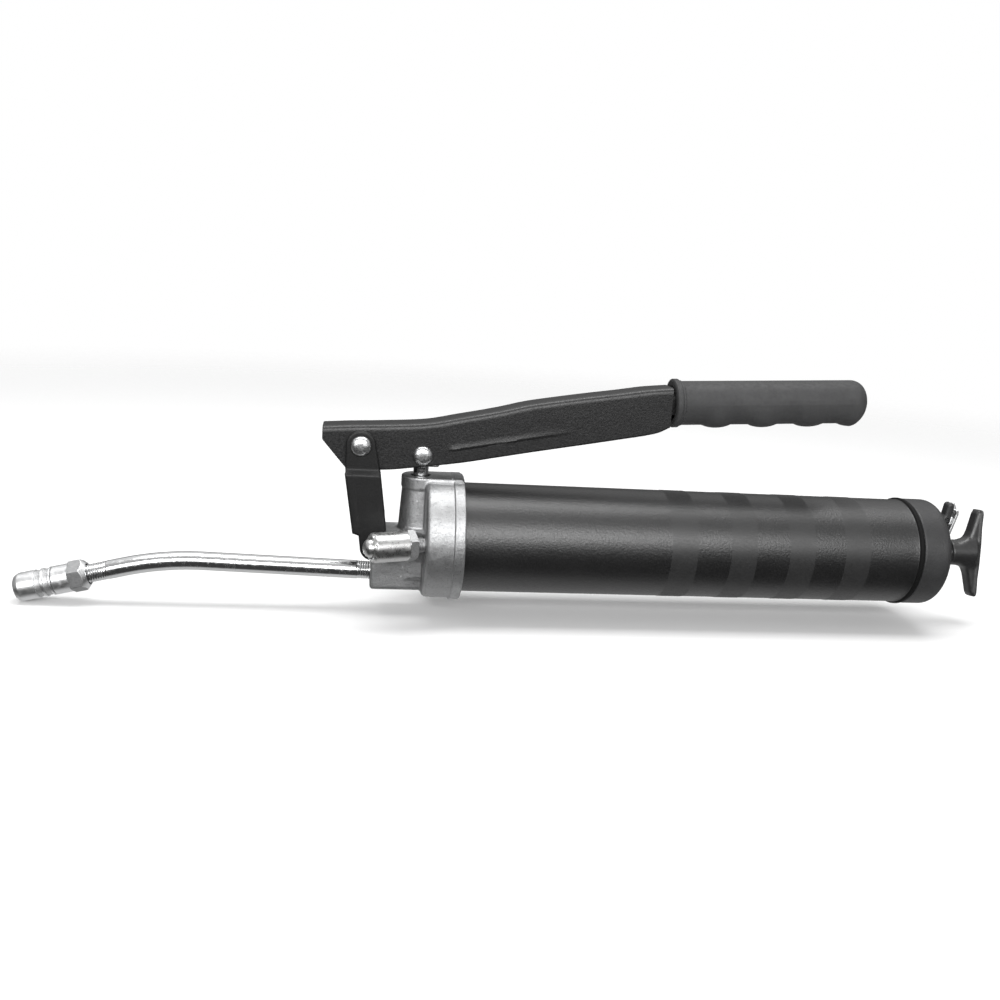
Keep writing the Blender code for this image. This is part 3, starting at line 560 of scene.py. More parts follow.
def trim(mesh, cutters):
    """Cut turned shapes from a mesh, both in millimetres."""
    for shape in (mesh, *cutters):
        turn_outwards(shape)
    work = placed("work", mesh)
    tools = [placed("cutter", cutter) for cutter in cutters]
    for tool in tools:
        step = work.modifiers.new("cut", "BOOLEAN")
        step.object = tool
        step.operation = "DIFFERENCE"
    graph = bpy.context.evaluated_depsgraph_get()
    graph.update()
    result = bpy.data.meshes.new_from_object(work.evaluated_get(graph))
    for other in (work, *tools):
        bpy.data.objects.remove(other, do_unlink=True)
    return result


# ---------------------------------------------------------------- solids from distance fields

def norm(*parts):
    return np.sqrt(sum(part * part for part in parts))


def box_field(parts, halves, radius):
    """Distance to a rounded box, from offsets to its centre and its half sizes."""
    outside = [np.abs(part) - (half - radius) for part, half in zip(parts, halves)]
    deepest = functools.reduce(np.maximum, outside)
    return norm(*[np.maximum(item, 0.0) for item in outside]) + np.minimum(deepest, 0.0) - radius


def drum_field(radial, along, radius, low, high, corner=0.3):
    """Distance to a cylinder with rounded rims."""
    return box_field((radial, along - (low + high) / 2), (radius, (high - low) / 2), corner)


def path_distance(points, u, v):
    """Distance to a line of points."""
    nearest = np.full(np.broadcast(u, v).shape, 1e9)
    for (au, av), (bu, bv) in zip(points, points[1:]):
        eu, ev = bu - au, bv - av
        pu, pv = u - au, v - av
        share = np.clip((pu * eu + pv * ev) / (eu * eu + ev * ev), 0.0, 1.0)
        nearest = np.minimum(nearest, (pu - eu * share) ** 2 + (pv - ev * share) ** 2)
    return np.sqrt(nearest)


def outline_field(points, u, v):
    """Signed distance to a closed outline, negative inside."""
    loop = points + points[:1]
    inside = np.zeros(np.broadcast(u, v).shape, bool)
    for (au, av), (bu, bv) in zip(loop, loop[1:]):
        if av != bv:
            crosses = (av > v) != (bv > v)
            inside ^= crosses & (u < (bu - au) * (v - av) / (bv - av) + au)
    return np.where(inside, -1.0, 1.0) * path_distance(loop, u, v)


def merge(a, b, soft):
    """Union with a fillet of about soft in the corner."""
    if soft == 0:
        return np.minimum(a, b)
    h = np.maximum(soft - np.abs(a - b), 0.0) / soft
    return np.minimum(a, b) - h * h * soft / 4


def eased(share):
    """Smooth step of a share that runs from 0 to 1."""
    share = np.clip(share, 0.0, 1.0)
    return share * share * (3 - 2 * share)


def keep(a, b, soft=0.0):
    """Intersection, with its edge rounded."""
    return -merge(-a, -b, soft)


def carve(a, b, soft=0.0):
    return keep(a, -b, soft)


def field_mesh(field, low, high, cell):
    """The surface where a distance field is zero, with its points pulled onto it."""
    axes = [np.arange(a, b + cell, cell) for a, b in zip(low, high)]
    x, y, z = np.meshgrid(*axes, indexing="ij", sparse=True)
    values = np.broadcast_to(field(x, y, z), [len(a) for a in axes])
    cells = np.array(values.shape) - 1
    total = np.zeros((*cells, 3), np.float32)
    count = np.zeros(cells, np.float32)
    crossings = []
    for axis in range(3):
        near = np.moveaxis(values, axis, 0)[:-1]
        far = np.moveaxis(values, axis, 0)[1:]
        crossing = np.moveaxis((near < 0) != (far < 0), 0, axis)
        gap = np.where(near == far, 1.0, near - far)
        share = np.moveaxis(near / gap, 0, axis) * crossing
        crossings.append((crossing, np.moveaxis(near < 0, 0, axis)))
        others = [i for i in range(3) if i != axis]
        for first in (0, 1):
            for second in (0, 1):
                window = [slice(None)] * 3
                window[others[0]] = slice(first, first + cells[others[0]])
                window[others[1]] = slice(second, second + cells[others[1]])
                hit = crossing[tuple(window)]
                count += hit
                total[..., axis] += share[tuple(window)]
                total[..., others[0]] += hit * first
                total[..., others[1]] += hit * second
    active = count > 0
    number = np.full(cells, -1, np.int64)
    number[active] = np.arange(active.sum())
    points = (np.argwhere(active) + total[active] / count[active][:, None]) * cell + np.array(low)
    points = settle_on(field, points, cell)
    faces = []
    for axis, (crossing, starts_inside) in enumerate(crossings):
        others = [i for i in range(3) if i != axis]
        window = [slice(None)] * 3
        window[others[0]] = slice(1, -1)
        window[others[1]] = slice(1, -1)
        where = np.argwhere(crossing[tuple(window)])
        flip = starts_inside[tuple(window)][tuple(where.T)]
        corners = []
        for first, second in ((0, 0), (1, 0), (1, 1), (0, 1)):
            shifted = where.copy()
            shifted[:, others[0]] += first
            shifted[:, others[1]] += second
            corners.append(number[tuple(shifted.T)])
        quads = np.stack(corners, 1)
        flip = flip if axis != 1 else ~flip
        quads[~flip] = quads[~flip][:, ::-1]
        faces.append(quads)
    return mesh_of(points, np.concatenate(faces).tolist())


def settle_on(field, points, cell):
    """Move points onto the surface along the field's slope."""
    step = cell * 0.05
    for _ in range(3):
        x, y, z = points.T
        here = field(x, y, z)
        slope = np.stack([field(x + step, y, z) - field(x - step, y, z),
                          field(x, y + step, z) - field(x, y - step, z),
                          field(x, y, z + step) - field(x, y, z - step)], 1) / (2 * step)
        size = np.maximum((slope ** 2).sum(1), 0.25)
        move = np.clip(here / size, -cell / 2, cell / 2)
        points = points - slope * move[:, None]
    return points


# ---------------------------------------------------------------- pump head

def head_field(x, y, z):
    radial = norm(y, z)
    collar_outline = rounded([(COLLAR_FRONT_X, 0.0), (COLLAR_FRONT_X, COLLAR_R), (-5.6, COLLAR_R),
                              (-5.3, COLLAR_RING_R), (0.0, COLLAR_RING_R), (0.0, 0.0)],
                             0.3, {0: 0.0, 1: 3.2, 4: 0.7, 5: 0.0}, closed=True)
    solid = outline_field(collar_outline, x, radial)

    widening = np.clip((x - PUMP_X) / 21.0, 0.0, 1.0) * 0.8
    waist = 9.3 + (26.2 - z) * 0.055
    width = waist + (TOWER_R - waist) * eased((z - 25.4) / 1.2) + widening
    reach = norm(np.minimum(x - PUMP_X, 0.0), y) - width
    tower = keep(keep(reach, np.maximum(z - TOWER_TOP_Z, -20.0 - z), 0.9), x + 0.9, 0.8)
    solid = merge(solid, tower, 1.6)

    block = box_field((x + 30.0, y, z + 11.5), (16.0, 11.0, 15.5), 1.8)
    lug = drum_field(norm(x - LINK_FOOT[0], z - LINK_FOOT[1]), y, 6.2, -10.98, 10.98, 1.0)
    block = merge(block, lug, 1.5)
    solid = merge(solid, block, 1.8)

    side = np.abs(y)
    gusset = np.maximum((-(x + 27.8) + (side - 10.5)) * 0.7071, np.maximum(z - 5.6, -9.0 - z))
    gusset = np.maximum(gusset, np.maximum(x + 17.0, 8.0 - side))
    solid = merge(solid, gusset, 1.2)
    valve_x, valve_y = valve_frame(x, y)
    boss = drum_field(norm(valve_y, z - VALVE_Z), valve_x, 5.6, COLLAR_FRONT_X - 0.9, -17.0, 0.5)
    solid = merge(solid, np.maximum(boss, y), 1.0)

    socket = drum_field(radial, x, BARREL_R + 0.4, -12.5, 4.0, 0.2)
    pump = norm(x - PUMP_X, y)
    bores = np.minimum(drum_field(pump, z, 4.2, -15.5, 40.0, 0.1), drum_field(pump, z, 5.2, 28.3, 40.0, 0.1))
    pipe_z = OUTLET_Z - (x - PUMP_X) * np.tan(PIPE_RISE)
    pipe = drum_field(norm(y, z - pipe_z), x, PIPE_R + 0.3, -60.0, -36.2, 0.1)
    foot = norm(x - LINK_FOOT[0], z - LINK_FOOT[1]) - PIN_HOLE_R
    tapping = drum_field(norm(valve_y, z - VALVE_Z), valve_x, 3.9, -30.0, -14.4, 0.1)
    for hole in (socket, bores, pipe, foot, tapping):
        solid = carve(solid, hole, 0.35)
    nick = norm(x + 6.2, y + 8.6, z - 31.6) - 0.8
    return carve(solid, nick, 0.2)


def head_casting():
    mesh = field_mesh(head_field, (-53.0, -34.0, -34.0), (1.2, 34.0, 34.0), 0.5)
    piece("head_casting", mesh, [CAST], "body", 50.0)


def plunger_seal():
    profile = rounded([(28.6, 4.15), (28.6, 4.9), (31.6, 4.9), (31.9, 4.6), (31.6, 4.15)], 0.12, closed=True)
    mesh = turned(profile, along_z(PUMP_X), 64)
    piece("plunger_seal", mesh, [SEAL], "body")


def plunger_field(x, y, z):
    radial = norm(x - PUMP_X, y)
    solid = drum_field(radial, z, PLUNGER_R, -12.0, 40.0, 0.5)
    eye = box_field((x - PUMP_X - 1.2, y, z - CROSS_PIN[1] - 0.1), (7.8, 6.4, 6.5), 1.4)
    solid = merge(solid, eye, 0.8)
    slot = box_field((x - PUMP_X - 1.3, y, z - CROSS_PIN[1] - 0.1), (4.6, 20.0, 3.75), 0.4)
    return carve(solid, slot, 0.3)


def plunger():
    mesh = field_mesh(plunger_field, (-30.0, -7.5, -13.0), (-11.5, 7.5, 52.0), 0.4)
    piece("plunger", mesh, [STEEL], "plunger", 40.0)


def pins():
    """Riveted pins: a low dome at each end, its rim lightly hammered."""
    for name, half, shank, head, height, at, body in (
            ("pivot_pin", 17.0, PIN_R - 0.1, 5.0, 2.7, LINK_FOOT, "body"),
            ("link_rivet", 15.0, PIN_R, 5.05, 2.8, LINK_HEAD, "link"),
            ("cross_pin", 12.2, PIN_R, 4.95, 2.8, CROSS_PIN, "lever")):
        shoulder = half - height
        angles = [math.radians(a) for a in range(6, 90, 7)]
        dome = [(shoulder + height * math.sin(a) ** 0.8, head * math.cos(a) ** 0.75) for a in angles]
        end = [(shoulder, shank), (shoulder, head - 0.35), (shoulder + 0.25, head)] + dome + [(half, 0.0)]
        profile = [(-along, radius) for along, radius in reversed(end)] + end

        def dimpled(along, radius, angle, head=head):
            wave = math.sin(3 * angle + along * 1.7) + 0.6 * math.sin(7 * angle - along * 2.3)
            return radius + (0.05 * wave if radius > head * 0.35 else 0.0)

        mesh = turned(profile, along_y(*at), 72, dimpled)
        piece(name, mesh, [RIVET], body, 60.0)


# ---------------------------------------------------------------- linkage

def link_field(x, y, z):
    side = np.abs(y)
    sheet = np.abs(side - (10.55 + 2.0 * eased((36.4 - z) / 3.6))) - 1.25
    outline = arc(*LINK_HEAD, 7.5, range(0, 181, 12))
    outline += [(-60.4, 36.0), (-60.0, 32.6), (-55.4, 3.6), (-52.6, 2.1)]
    outline += arc(*LINK_FOOT, 6.8, range(180, 361, 12)) + [(-39.2, 9.0), (-42.6, 33.0)]
    flat = outline_field(outline, x, z)
    ears = keep(sheet, flat, 1.0)
    lean = (x + 60.1 - (33.5 - z) * 0.1538) * 0.988
    web = np.maximum(np.abs(lean - 1.25) - 1.25, np.maximum(z - 33.4, 3.4 - z))
    web = keep(web, side - 13.5, 1.4)
    solid = merge(ears, web, 1.6)
    for cx, cz in (LINK_HEAD, LINK_FOOT):
        solid = carve(solid, norm(x - cx, z - cz) - PIN_HOLE_R, 0.2)
    return solid


def link():
    mesh = field_mesh(link_field, (-62.5, -15.0, -12.0), (-37.0, 15.0, 57.0), 0.45)
    piece("link", mesh, [LINK_PAINT], "link", 45.0)


LEVER_STATIONS = [              # x, top z, bottom z
    (-72.2, 56.6, 49.9), (-66.0, 57.1, 42.6), (-59.8, 57.6, 35.4), (-43.3, 58.6, 35.6), (-22.0, 60.3, 38.0),
    (-3.0, 64.2, 40.8), (15.0, 68.2, 44.3), (31.0, 72.4, 47.5), (46.6, 75.4, 50.5), (62.5, 78.2, 53.5),
    (78.4, 80.8, 56.6), (92.0, 83.2, 59.3), (98.5, 84.0, 61.0), (104.9, 84.7, 64.2),
]
LEVER_NOSE_X = -58.0            # the bottom edge is straight in front of here
LEVER_HALF_Y = 9.0
LEVER_SHEET = 2.0
RIB_X = (-9.0, 56.0)            # the pressed panel along each cheek
RIB_ABOVE = 7.0                 # height of its lower edge over the lever's bottom
RIB_WIDTH = 3.6
RIB_DEPTH = 0.5


def curve_through(xs, values, x):
    """Cubic through the stations, with slopes that keep it from overshooting them."""
    i = int(np.clip(np.searchsorted(xs, x) - 1, 0, len(xs) - 2))
    width = xs[i + 1] - xs[i]
    t = (x - xs[i]) / width

    def slope(k):
        if k <= 0 or k >= len(xs) - 1:
            k = min(max(k, 0), len(xs) - 2)
            return (values[k + 1] - values[k]) / (xs[k + 1] - xs[k])
        before = (values[k] - values[k - 1]) / (xs[k] - xs[k - 1])
        after = (values[k + 1] - values[k]) / (xs[k + 1] - xs[k])
        return 0.0 if before * after < 0 else 2 * before * after / (before + after + 1e-12)

    h00 = (1 + 2 * t) * (1 - t) ** 2
    h10 = t * (1 - t) ** 2
    h01 = t * t * (3 - 2 * t)
    h11 = t * t * (t - 1)
    return h00 * values[i] + h10 * width * slope(i) + h01 * values[i + 1] + h11 * width * slope(i + 1)


def rib_height(x, above):
    """Depth of the shallow pressed panel: a crisp lower edge that fades out upwards and rearwards."""
    start, end = RIB_X
    travel = (x - start) / (end - start)
    rise = (above - RIB_ABOVE) / RIB_WIDTH
    if not (0.0 <= travel <= 1.0 and 0.0 <= rise <= 1.0):
        return 0.0
    edge = min(1.0, rise * RIB_WIDTH / 0.5)
    ends = min(1.0, travel / 0.02) * (1.0 - travel ** 3)
    return -RIB_DEPTH * edge * (1.0 - rise) ** 1.5 * ends


def channel_ring(x, top, bottom, half, sheet, ribbed):
    """Outline of an upside-down U of sheet metal, with rolled shoulders and rounded lips."""
    bend, inner_bend = 3.2, 1.4
    outer = rounded([(-half, bottom), (-half, top), (half, top), (half, bottom)], bend, steps=8)
    rows = 44

    def cheek(a, b):
        return [(a[0] + (b[0] - a[0]) * k / rows, a[1] + (b[1] - a[1]) * k / rows) for k in range(rows)]

    left = cheek((-half, bottom + 0.5), outer[1])
    right = [(-y, z) for y, z in reversed(left)]
    inner_y, crown = half - sheet, top - sheet
    inner = [(inner_y, bottom), (inner_y, crown), (-inner_y, crown), (-inner_y, bottom)]
    inner = rounded(inner, inner_bend, steps=4)
    lip_right = [(half - 0.2, bottom + 0.08), (half - 0.6, bottom), (inner_y + 0.4, bottom),
                 (inner_y, bottom + 0.4)]
    lip_left = [(-y, z) for y, z in reversed(lip_right)]
    path = left + outer[1:-1] + right + lip_right + inner[1:-1] + lip_left
    ring = []
    for y, z in path:
        push = rib_height(x, z - bottom) if ribbed and abs(abs(y) - half) < 1e-6 else 0.0
        ring.append((x, y + math.copysign(push, y), z))
    return ring


def lever():
    xs, tops, lows = zip(*LEVER_STATIONS)
    places = sorted(set(list(np.arange(xs[0], xs[-1], 1.0)) + [xs[0] + 0.3, xs[-1], *xs]))
    rings = []
    for x in places:
        top = curve_through(xs, tops, x)
        low = float(np.interp(x, xs, lows)) if x < LEVER_NOSE_X else curve_through(xs, lows, x)
        inset = 0.35 if x in (xs[0], xs[-1]) else 0.0
        half, sheet = LEVER_HALF_Y - inset, LEVER_SHEET - inset
        rings.append(channel_ring(x, top - inset, low + inset, half, sheet, True))
    for travel in (-1.0, 40.0, 84.0):
        x = GRIP_START[0] + travel * math.cos(GRIP_TILT)
        middle = GRIP_START[1] + travel * math.sin(GRIP_TILT)
        rings.append(channel_ring(x, middle + 5.6, middle - 5.6, 6.5, 1.8, False))
    drill = [(-20.0, 0.0), (-20.0, PIN_HOLE_R), (20.0, PIN_HOLE_R), (20.0, 0.0)]
    holes = [turned(drill, along_y(*at), 40) for at in (LINK_HEAD, CROSS_PIN)]
    mesh = trim(skin(rings), holes)
    piece("lever", mesh, [PAINT], "lever", 32.0)


def lever_grip():
    """Rubber grip: rolled flange, groove behind it, four finger swells and a moulding line."""
    around = 112
    swells = (24.5, 50.0, 75.5, 100.0)
    outer = [(0.0, 9.0), (0.0, 11.6), (0.5, 12.7), (3.0, 12.7), (3.5, 11.9), (4.6, 11.9), (5.0, GRIP_R),
             (14.0, GRIP_R)]
    outer = rounded(outer, 0.4, steps=4)
    profile = outer[1:] + [(14.0 + 1.2 * k, GRIP_R) for k in range(1, 71)]
    dome_start, dome_end = GRIP_LENGTH - 7.6, GRIP_LENGTH
    profile = [p for p in profile if p[0] < dome_start]
    for k in range(0, 15):
        a = math.radians(90.0 * k / 14)
        profile.append((dome_start + (dome_end - dome_start) * math.sin(a), GRIP_R * math.cos(a) ** 0.62))
    rings = []
    for along, radius in profile[:-1]:
        nearest = min(abs(along - centre) for centre in swells)
        swell = 1.65 * max(0.0, 1.0 - (nearest / 7.4) ** 2) ** 0.75
        if along > dome_start:
            swell *= math.cos(0.5 * math.pi * (along - dome_start) / (dome_end - dome_start)) ** 2
        ring = []
        for i in range(around):
            angle = 2 * math.pi * i / around
            down = max(0.0, -math.sin(angle))
            line = 0.1 * math.exp(-(math.sin(angle) / 0.035) ** 2) if along > 16.0 else 0.0
            reach = radius + swell * down ** 1.6 + line
            ring.append((along, reach * math.cos(angle), reach * math.sin(angle)))
        rings.append(ring)
    socket = [[(along, r * math.cos(2 * math.pi * i / around), r * math.sin(2 * math.pi * i / around))
               for i in range(around)] for along, r in ((88.0, 8.6), (88.0, 9.0), (0.4, 9.0), (0.0, 9.3))]
    mesh = skin(socket + rings)
    place = Matrix.Translation((GRIP_START[0], 0.0, GRIP_START[1])) @ Matrix.Rotation(-GRIP_TILT, 4, "Y")
    mesh.transform(place)
    piece("lever_grip", mesh, [RUBBER], "lever", 50.0)


# ---------------------------------------------------------------- barrel, cap, latch and handle

KNURL_BANDS = ((107.0, 121.0), (139.0, 153.0), (171.0, 185.0), (202.0, 216.0))
KNURL_PITCH = 0.8
KNURL_DEPTH = 0.17


def barrel():
    steps = 2 * round(math.pi * BARREL_R / KNURL_PITCH)
    profile = [(BARREL_FRONT_X, BARREL_R), (243.4, BARREL_R), (244.2, BEAD_R), (245.6, BEAD_R),
               (246.2, 28.9), (246.2, BARREL_BORE_R), (BARREL_FRONT_X, BARREL_BORE_R)]
    profile = rounded(profile, 0.5, {0: 0.0, 6: 0.0}, steps=4)
    outside = [p for p in profile if p[1] > BARREL_BORE_R + 0.6]
    inside = [(246.0, BARREL_BORE_R), (BARREL_FRONT_X, BARREL_BORE_R)]
    line = []
    previous = BARREL_FRONT_X
    for start, end in KNURL_BANDS:
        line += [(previous + (start - previous) * k / 12, BARREL_R) for k in range(12)]
        count = round((end - start) / KNURL_PITCH)
        line += [(start + (end - start) * k / count, BARREL_R) for k in range(count)]
        previous = end
    line += [(previous + (241.0 - previous) * k / 12, BARREL_R) for k in range(12)]
    line += [p for p in outside if p[0] > 241.0]
    rows = {round(along, 4): k for k, (along, _) in enumerate(line)}

    def in_band(x):
        return any(start + 0.3 < x < end - 0.3 for start, end in KNURL_BANDS)

    def knurled(along, radius, angle):
        if not in_band(along):
            return radius
        column = round(angle * steps / (2 * math.pi))
        return radius + KNURL_DEPTH * (1 if (rows.get(round(along, 4), 0) + column) % 2 else -1)

    mesh = turned(line + inside, along_x(), steps, knurled)
    obj = piece("barrel", mesh, [COAT, KNURL, JOINT], "body", 30.0)
    repaint(obj, Matrix(), 1, lambda centre, normal: in_band(centre.x))
    repaint(obj, Matrix(), 2, lambda centre, normal: centre.x > BEAD_X)


def cap_outline(inset):
    power = 2.0 / 2.5
    depth = CAP_APEX_X - CAP_CORNER_X - inset
    return [(CAP_CORNER_X + depth * math.sin(math.radians(a)) ** power,
             (CAP_R - inset) * math.cos(math.radians(a)) ** power) for a in range(0, 88, 4)]


def dome_field(x, y, z):
    radial = norm(y, z)
    spigot = [(236.0, 0.0), (236.0, 27.0), (246.5, 27.0), (246.5, CAP_R - 0.5), (247.0, CAP_R)]
    return outline_field(spigot + cap_outline(0.0) + [(CAP_APEX_X, 0.0)], x, radial)


def cap_field(x, y, z):
    radial = norm(y, z)
    inner = [(230.0, 0.0), (230.0, 25.4), (252.0, 25.4)] + [p for p in cap_outline(1.6) if p[1] < 25.4]
    inner += [(CAP_APEX_X - 1.6, 0.0)]
    solid = carve(dome_field(x, y, z), outline_field(inner, x, radial), 0.3)
    return carve(solid, drum_field(radial, x, 5.2, 255.0, 290.0, 0.1), 0.3)


def ear_field(x, y, z):
    """The latch's ear, run smoothly into the dome and cut off just under the dome's surface."""
    fin = [(262.0, 12.0), (264.0, 15.6), (268.4, 18.4), (270.8, 22.0)]
    fin += arc(*HOOD_TOP, HOOD_TOP_R, range(170, -1, -17))
    fin += [(275.5, 24.0), (274.5, 16.9), (272.2, 12.4), (264.0, 8.0)]
    ear = keep(outline_field(fin, x, z), np.abs(y) - 2.9, 1.8)
    solid = merge(dome_field(x, y, z) + 0.05, ear, 2.4)
    gap = [(267.6, 5.0), (290.0, 5.0), (290.0, 33.0), (273.0, 33.0), (273.0, 24.2), (269.4, 18.5),
           (267.6, 16.4)]
    solid = carve(solid, keep(outline_field(gap, x, z), np.abs(y) - 1.6), 0.12)
    solid = carve(solid, norm(x - LATCH_PIVOT[0], z - LATCH_PIVOT[1]) - LATCH_PIN_R, 0.15)
    region = box_field((x - 269.0, y, z - 18.5), (6.2, 6.5, 12.0), 1.0)
    return keep(keep(solid, region), -(dome_field(x, y, z) + 1.3))


def rear_cap():
    mesh = field_mesh(cap_field, (235.0, -31.0, -31.0), (268.6, 31.0, 31.0), 0.5)
    piece("rear_cap", mesh, [CAP_COAT], "body", 50.0)
    mesh = field_mesh(ear_field, (261.0, -7.2, 5.2), (277.0, 7.2, 31.2), 0.2)
    piece("rear_cap_ear", mesh, [CAP_COAT], "body", 50.0, replaces=False)


def latch_plate():
    """Stamped and plated: a curled thumb tab over the hood, an eye, and a plate round the rod."""
    px, pz = LATCH_PIVOT
    tab = [(273.2, 5.35), (277.6, 22.4), (277.55, 23.6), (277.3, 24.4)]
    tongue = [(277.3, 24.4), (276.7, 26.0), (275.5, 28.0)]
    plate = [(269.6, -8.6), (273.5, 6.5)]

    def field(x, y, z):
        curl = keep(path_distance(tab, x, z) - SHEET_HALF, np.abs(y) - 3.3, 0.3)
        curl = merge(curl, keep(path_distance(tongue, x, z) - SHEET_HALF, np.abs(y) - 1.3, 0.2), 0.3)
        low = keep(path_distance(plate, x, z) - SHEET_HALF, np.abs(y) - 5.6, 0.5)
        arm = keep(outline_field([(px, pz - 2.1), (276.0, 16.0), (277.1, 20.4), (px, pz + 2.1)], x, z),
                   np.abs(y) - 1.25, 0.2)
        eye = drum_field(norm(x - px, z - pz), y, 2.3, -1.3, 1.3, 0.2)
        solid = merge(merge(curl, low, 0.5), merge(arm, eye, 0.5), 0.5)
        solid = carve(solid, norm(x - px, z - pz) - LATCH_PIN_R, 0.1)
        return carve(solid, norm(y, z) - 4.0, 0.2)

    mesh = field_mesh(field, (267.0, -6.6, -10.5), (280.0, 6.6, 31.0), 0.25)
    piece("latch_plate", mesh, [PLATE], "latch", 45.0)


def handle_field(x, y, z):
    neck = drum_field(norm(y, z), x, 7.2, 0.0, 15.0, 0.7)
    half = [(6.8, 5.4), (10.0, 8.0), (11.9, 12.5), (13.4, 18.5), (14.4, 22.6), (15.6, 24.6), (17.6, 24.6),
            (18.1, 22.4), (17.9, 14.0), (18.3, 6.0)]
    wing = rounded(half + [(a, -b) for a, b in reversed(half)], 2.0, steps=4, closed=True)
    flat = outline_field(wing, x, z)
    web = keep(flat, np.abs(y) - 3.9, 2.6)
    flange = keep(np.maximum(flat, 16.4 - x), np.abs(y) - 4.4, 0.8)
    solid = merge(neck, web, 3.4)
    solid = merge(solid, flange, 0.7)
    return carve(solid, drum_field(norm(y, z), x, 3.06, -4.0, 11.2, 0.1), 0.2)


def t_handle():
    mesh = field_mesh(handle_field, (-1.2, -9.0, -26.5), (21.0, 9.0, 26.5), 0.4)
    mesh.transform(Matrix.Translation((HANDLE_X, 0.0, 0.0)) @ Matrix.Rotation(HANDLE_TURN, 4, "X"))
    piece("t_handle", mesh, [MOULDED], "handle", 55.0)


def follower_rod():
    profile = rounded([(3.0, 0.0), (3.0, 3.0), (288.0, 3.0), (288.0, 0.0)], 0.4)
    mesh = turned(profile, along_x(), 64)
    piece("follower_rod", mesh, [STEEL], "handle")


# ---------------------------------------------------------------- pipe, coupler and bleeder valve

def thread(start, end, pitch, depth):
    """Radius change of a screw thread between two places."""
    def shape(along, radius, angle):
        if not start <= along <= end or radius < 3.0:
            return radius
        phase = (along / pitch + angle / (2 * math.pi)) % 1.0
        ease = min(1.0, (along - start) / pitch, (end - along) / pitch)
        return radius - depth * ease * abs(2 * phase - 1.0) ** 0.8
    return shape


def delivery_pipe():
    """Plated pipe, bent once, threaded at both ends."""
    start_x = PUMP_X - 14.6
    rise, dip = math.tan(PIPE_RISE), math.tan(COUPLER_TILT)
    corner_x = (OUTLET_Z - COUPLER_Z + PUMP_X * rise + COUPLER_X * dip) / (rise + dip)
    corner = Vector((corner_x, OUTLET_Z + (PUMP_X - corner_x) * rise))
    first = Vector((-1.0, rise)).normalized()
    second = Vector((-1.0, -dip)).normalized()
    start = Vector((start_x, OUTLET_Z + (PUMP_X - start_x) * rise))
    end = Vector((COUPLER_X, COUPLER_Z)) + second * 11.8
    reach = 20.0
    entry, leave = corner - first * reach, corner + second * reach
    steps = 64

    def straight(a, b, spacing):
        count = max(1, round((b - a).length / spacing))
        return [a.lerp(b, k / count) for k in range(count)]

    head, tail = start + first * 17.5, end - second * 16.5
    line = straight(start, head, 0.2) + straight(head, entry, 4.0)
    for t in np.linspace(0, 1, 25)[:-1]:
        line.append(entry * (1 - t) ** 2 + corner * 2 * t * (1 - t) + leave * t ** 2)
    line += straight(leave, tail, 4.0) + straight(tail, end, 0.2) + [end]
    last = len(line) - 1
    travelled = [0.0]
    for a, b in zip(line, line[1:]):
        travelled.append(travelled[-1] + (b - a).length)
    total = travelled[-1]
    front = thread(0.0, 16.5, THREAD_PITCH, THREAD_DEPTH)
    back = thread(total - 15.2, total, THREAD_PITCH, THREAD_DEPTH)

    def ring(k, radius_at):
        ahead = (line[min(k + 1, last)] - line[max(k - 1, 0)]).normalized()
        points = []
        for i in range(steps):
            angle = 2 * math.pi * i / steps
            radius = radius_at(travelled[k], angle)
            lift = radius * math.sin(angle)
            points.append((line[k].x - ahead.y * lift, radius * math.cos(angle), line[k].y + ahead.x * lift))
        return points

    def outside(done, angle):
        return (front if done < 20 else back)(done, PIPE_R, angle)

    rings = [ring(k, outside) for k in range(last + 1)]
    rings += [ring(k, lambda done, angle: PIPE_BORE_R) for k in (*range(last, -1, -4), 0)]
    piece("delivery_pipe", skin(rings, closed=True), [ZINC], "body", 40.0)


def hexagon(u, v, corner_radius):
    """Distance to a hexagonal prism's sides, with points up the v axis."""
    apothem = corner_radius * math.cos(math.radians(30.0))
    reach = np.abs(u)
    for angle in (60.0, 120.0):
        a = math.radians(angle)
        reach = np.maximum(reach, np.abs(u * math.cos(a) + v * math.sin(a)))
    return reach - apothem


def coupler_body():
    def field(x, y, z):
        radial = norm(x, y)
        ends = np.maximum(COUPLER_HEX_FROM - z, z - COUPLER_HEX_TO)
        nut = keep(hexagon(y, x, COUPLER_HEX_R), ends, 0.15)
        nut = keep(nut, (radial - 5.6 - (z - COUPLER_HEX_FROM)) * math.sqrt(0.5), 0.1)
        nut = np.maximum(nut, (radial - 7.7 - (COUPLER_HEX_TO - z) * HEX_BEVEL) * 0.5)
        rear = drum_field(radial, z, COUPLER_R, 14.6, 23.3, 0.4)
        neck = drum_field(radial, z, 5.6, 20.0, 29.6, 0.4)
        solid = np.minimum(np.minimum(nut, rear), neck)
        for radius, low, high in ((5.05, 0.0, 12.4), (1.9, 5.0, 20.0), (3.9, 19.0, 35.0)):
            solid = carve(solid, drum_field(radial, z, radius, low, high, 0.1), 0.25)
        return solid

    mesh = field_mesh(field, (-9.2, -9.2, 3.6), (9.2, 9.2, 30.4), 0.27)
    mesh.transform(coupler_place())
    obj = piece("coupler_body", mesh, [TURNED, FROSTED], "body", 32.0)

    def on_flat(centre, normal):
        outside = 6.8 < centre.z < 15.0 and math.hypot(centre.x, centre.y) > 6.9
        return outside and abs(normal.z) < 0.2

    repaint(obj, coupler_place(), 1, on_flat)


